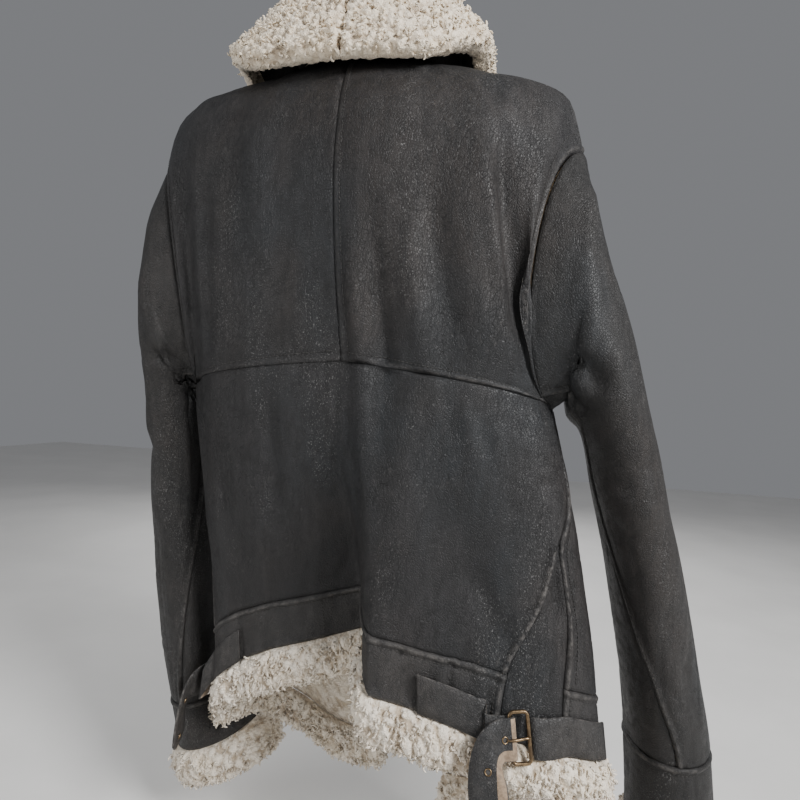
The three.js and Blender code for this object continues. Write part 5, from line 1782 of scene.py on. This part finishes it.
def sew():
    vertices, faces = [], []
    for line, normals in stitch_lines():
        reach = reach_along(line)
        count = int(reach[-1] / STITCH_STEP)
        for k in range(2, count - 1):
            ends = []
            for at in (k * STITCH_STEP, k * STITCH_STEP + STITCH_LONG):
                i = next(i for i in range(len(reach) - 1) if reach[i + 1] >= at)
                t = (at - reach[i]) / (reach[i + 1] - reach[i])
                ends.append(line[i].lerp(line[i + 1], t) + normals[i] * 0.00015)
            middle = (ends[0] + ends[1]) / 2 + normals[i] * 0.0004
            add_tube(vertices, faces, [ends[0], middle, ends[1]], [0.0002, 0.0004, 0.0002], 4)
    on_frame(make_mesh("stitches", vertices, faces, [fibres("Thread")]))


# Floor, lights and camera
def build_floor():
    vertices = [(x * FLOOR_HALF, y * FLOOR_HALF, FLOOR_Z) for x, y in ((-1, -1), (1, -1), (1, 1), (-1, 1))]
    floor = make_mesh("floor", vertices, [(0, 1, 2, 3)], [fibres("Pale Floor")])


def add_light(name, place, target, power, wide):
    data = bpy.data.lights.new(name, "AREA")
    data.energy = power
    data.shape = "RECTANGLE"
    data.size, data.size_y = wide
    light = bpy.data.objects.new(name, data)
    light.location = place
    light.rotation_euler = (Vector(target) - Vector(place)).to_track_quat("-Z", "Y").to_euler()
    bpy.context.scene.collection.objects.link(light)


def build_studio():
    studio = bpy.context.scene.studio_settings
    build_floor()
    world = bpy.data.worlds.new("Studio")
    world.use_nodes = True
    back = world.node_tree.nodes["Background"]
    back.inputs["Color"].default_value = (0.93, 0.95, 1.0, 1)
    back.inputs["Strength"].default_value = studio.sky
    bpy.context.scene.world = world
    add_light("key", (-1.6, 1.05, 0.55), (-0.05, 0, -0.45), studio.key_power, (0.7, 0.7))
    add_light("fill", (1.5, 1.2, -0.1), (-0.05, 0, -0.6), studio.fill_power, (1.2, 1.2))
    add_light("front", (0.4, -1.9, 0.4), (-0.05, 0, -0.5), studio.fill_power * 1.7, (1.4, 1.4))
    data = bpy.data.cameras.new("camera")
    data.lens = studio.lens
    data.clip_start = 0.01
    camera = bpy.data.objects.new("camera", data)
    camera.location = CAMERA_PLACE
    turn = math.radians(CAMERA_TURN)
    look = Vector((math.sin(turn), -math.cos(turn), 0))
    tilt = Quaternion((0, 0, 1), math.radians(CAMERA_TILT))
    camera.rotation_euler = (look.to_track_quat("-Z", "Y") @ tilt).to_euler()
    bpy.context.scene.collection.objects.link(camera)
    bpy.context.scene.camera = camera


# Operators and panel
class JACKET_OT_back(bpy.types.Operator):
    """Leather yokes, lower back, its hem band and the side gussets."""

    bl_idname = "jacket.back"
    bl_label = "Dress Back"

    def execute(self, context):
        dress_back()
        return {"FINISHED"}


class JACKET_OT_fronts(bpy.types.Operator):
    """Leather fronts and their hem bands."""

    bl_idname = "jacket.fronts"
    bl_label = "Dress Fronts"

    def execute(self, context):
        dress_fronts()
        return {"FINISHED"}


class JACKET_OT_sleeves(bpy.types.Operator):
    """Leather sleeves and cuffs."""

    bl_idname = "jacket.sleeves"
    bl_label = "Dress Sleeves"

    def execute(self, context):
        dress_sleeves()
        return {"FINISHED"}


class JACKET_OT_stitches(bpy.types.Operator):
    """Thread along the turned edges of the leather."""

    bl_idname = "jacket.stitches"
    bl_label = "Sew Seams"

    def execute(self, context):
        sew()
        return {"FINISHED"}


class JACKET_OT_collar(bpy.types.Operator):
    """Both wool halves of the collar."""

    bl_idname = "jacket.collar"
    bl_label = "Dress Collar"

    def execute(self, context):
        dress_collar()
        return {"FINISHED"}


class JACKET_OT_hem_wool(bpy.types.Operator):
    """Curly wool below the hem."""

    bl_idname = "jacket.hem_wool"
    bl_label = "Dress Hem Wool"

    def execute(self, context):
        dress_hem_wool()
        return {"FINISHED"}


class JACKET_OT_cuff_wool(bpy.types.Operator):
    """Curly wool below the cuffs."""

    bl_idname = "jacket.cuff_wool"
    bl_label = "Dress Cuff Wool"

    def execute(self, context):
        dress_cuff_wool()
        return {"FINISHED"}


class JACKET_OT_adjusters(bpy.types.Operator):
    """Straps, buckles and eyelets at the hem."""

    bl_idname = "jacket.adjusters"
    bl_label = "Dress Adjusters"

    def execute(self, context):
        dress_adjusters()
        return {"FINISHED"}


class JACKET_OT_zip(bpy.types.Operator):
    """Zip tapes with teeth, the slider and its pull tab."""

    bl_idname = "jacket.zip"
    bl_label = "Dress Zip"

    def execute(self, context):
        dress_zip()
        return {"FINISHED"}


class JACKET_OT_hanger(bpy.types.Operator):
    """The hanger's wooden arms and wire hook."""

    bl_idname = "jacket.hanger"
    bl_label = "Dress Hanger"

    def execute(self, context):
        dress_hanger()
        return {"FINISHED"}


class JACKET_OT_stage(bpy.types.Operator):
    """Pale floor, soft lights and the camera."""

    bl_idname = "jacket.stage"
    bl_label = "Build Studio"

    def execute(self, context):
        build_studio()
        return {"FINISHED"}


class JACKET_PT_tools(bpy.types.Panel):
    """The jacket's tools in the sidebar."""

    bl_label = "Jacket"
    bl_idname = "JACKET_PT_tools"
    bl_space_type = "VIEW_3D"
    bl_region_type = "UI"
    bl_category = "Jacket"

    def draw(self, context):
        for group in (context.scene.jacket_settings, context.scene.studio_settings):
            for name in group.bl_rna.properties.keys():
                if name not in ("rna_type", "name"):
                    self.layout.prop(group, name)
        for tool in TOOLS:
            self.layout.operator(tool.bl_idname)


TOOLS = (
    JACKET_OT_back,
    JACKET_OT_fronts,
    JACKET_OT_sleeves,
    JACKET_OT_stitches,
    JACKET_OT_collar,
    JACKET_OT_hem_wool,
    JACKET_OT_cuff_wool,
    JACKET_OT_adjusters,
    JACKET_OT_zip,
    JACKET_OT_hanger,
    JACKET_OT_stage,
)
CLASSES = (JacketSettings, StudioSettings, *TOOLS, JACKET_PT_tools)


def register():
    noise.seed_set(NOISE_SEED)
    for kind in CLASSES:
        bpy.utils.register_class(kind)
    bpy.types.Scene.jacket_settings = PointerProperty(type=JacketSettings)
    bpy.types.Scene.studio_settings = PointerProperty(type=StudioSettings)


def unregister():
    del bpy.types.Scene.studio_settings
    del bpy.types.Scene.jacket_settings
    for kind in reversed(CLASSES):
        bpy.utils.unregister_class(kind)


def main():
    register()
    bpy.ops.jacket.back()
    bpy.ops.jacket.fronts()
    bpy.ops.jacket.sleeves()
    bpy.ops.jacket.stitches()
    bpy.ops.jacket.collar()
    bpy.ops.jacket.hem_wool()
    bpy.ops.jacket.cuff_wool()
    bpy.ops.jacket.adjusters()
    bpy.ops.jacket.zip()
    bpy.ops.jacket.hanger()
    bpy.ops.jacket.stage()


if __name__ == "__main__":
    main()
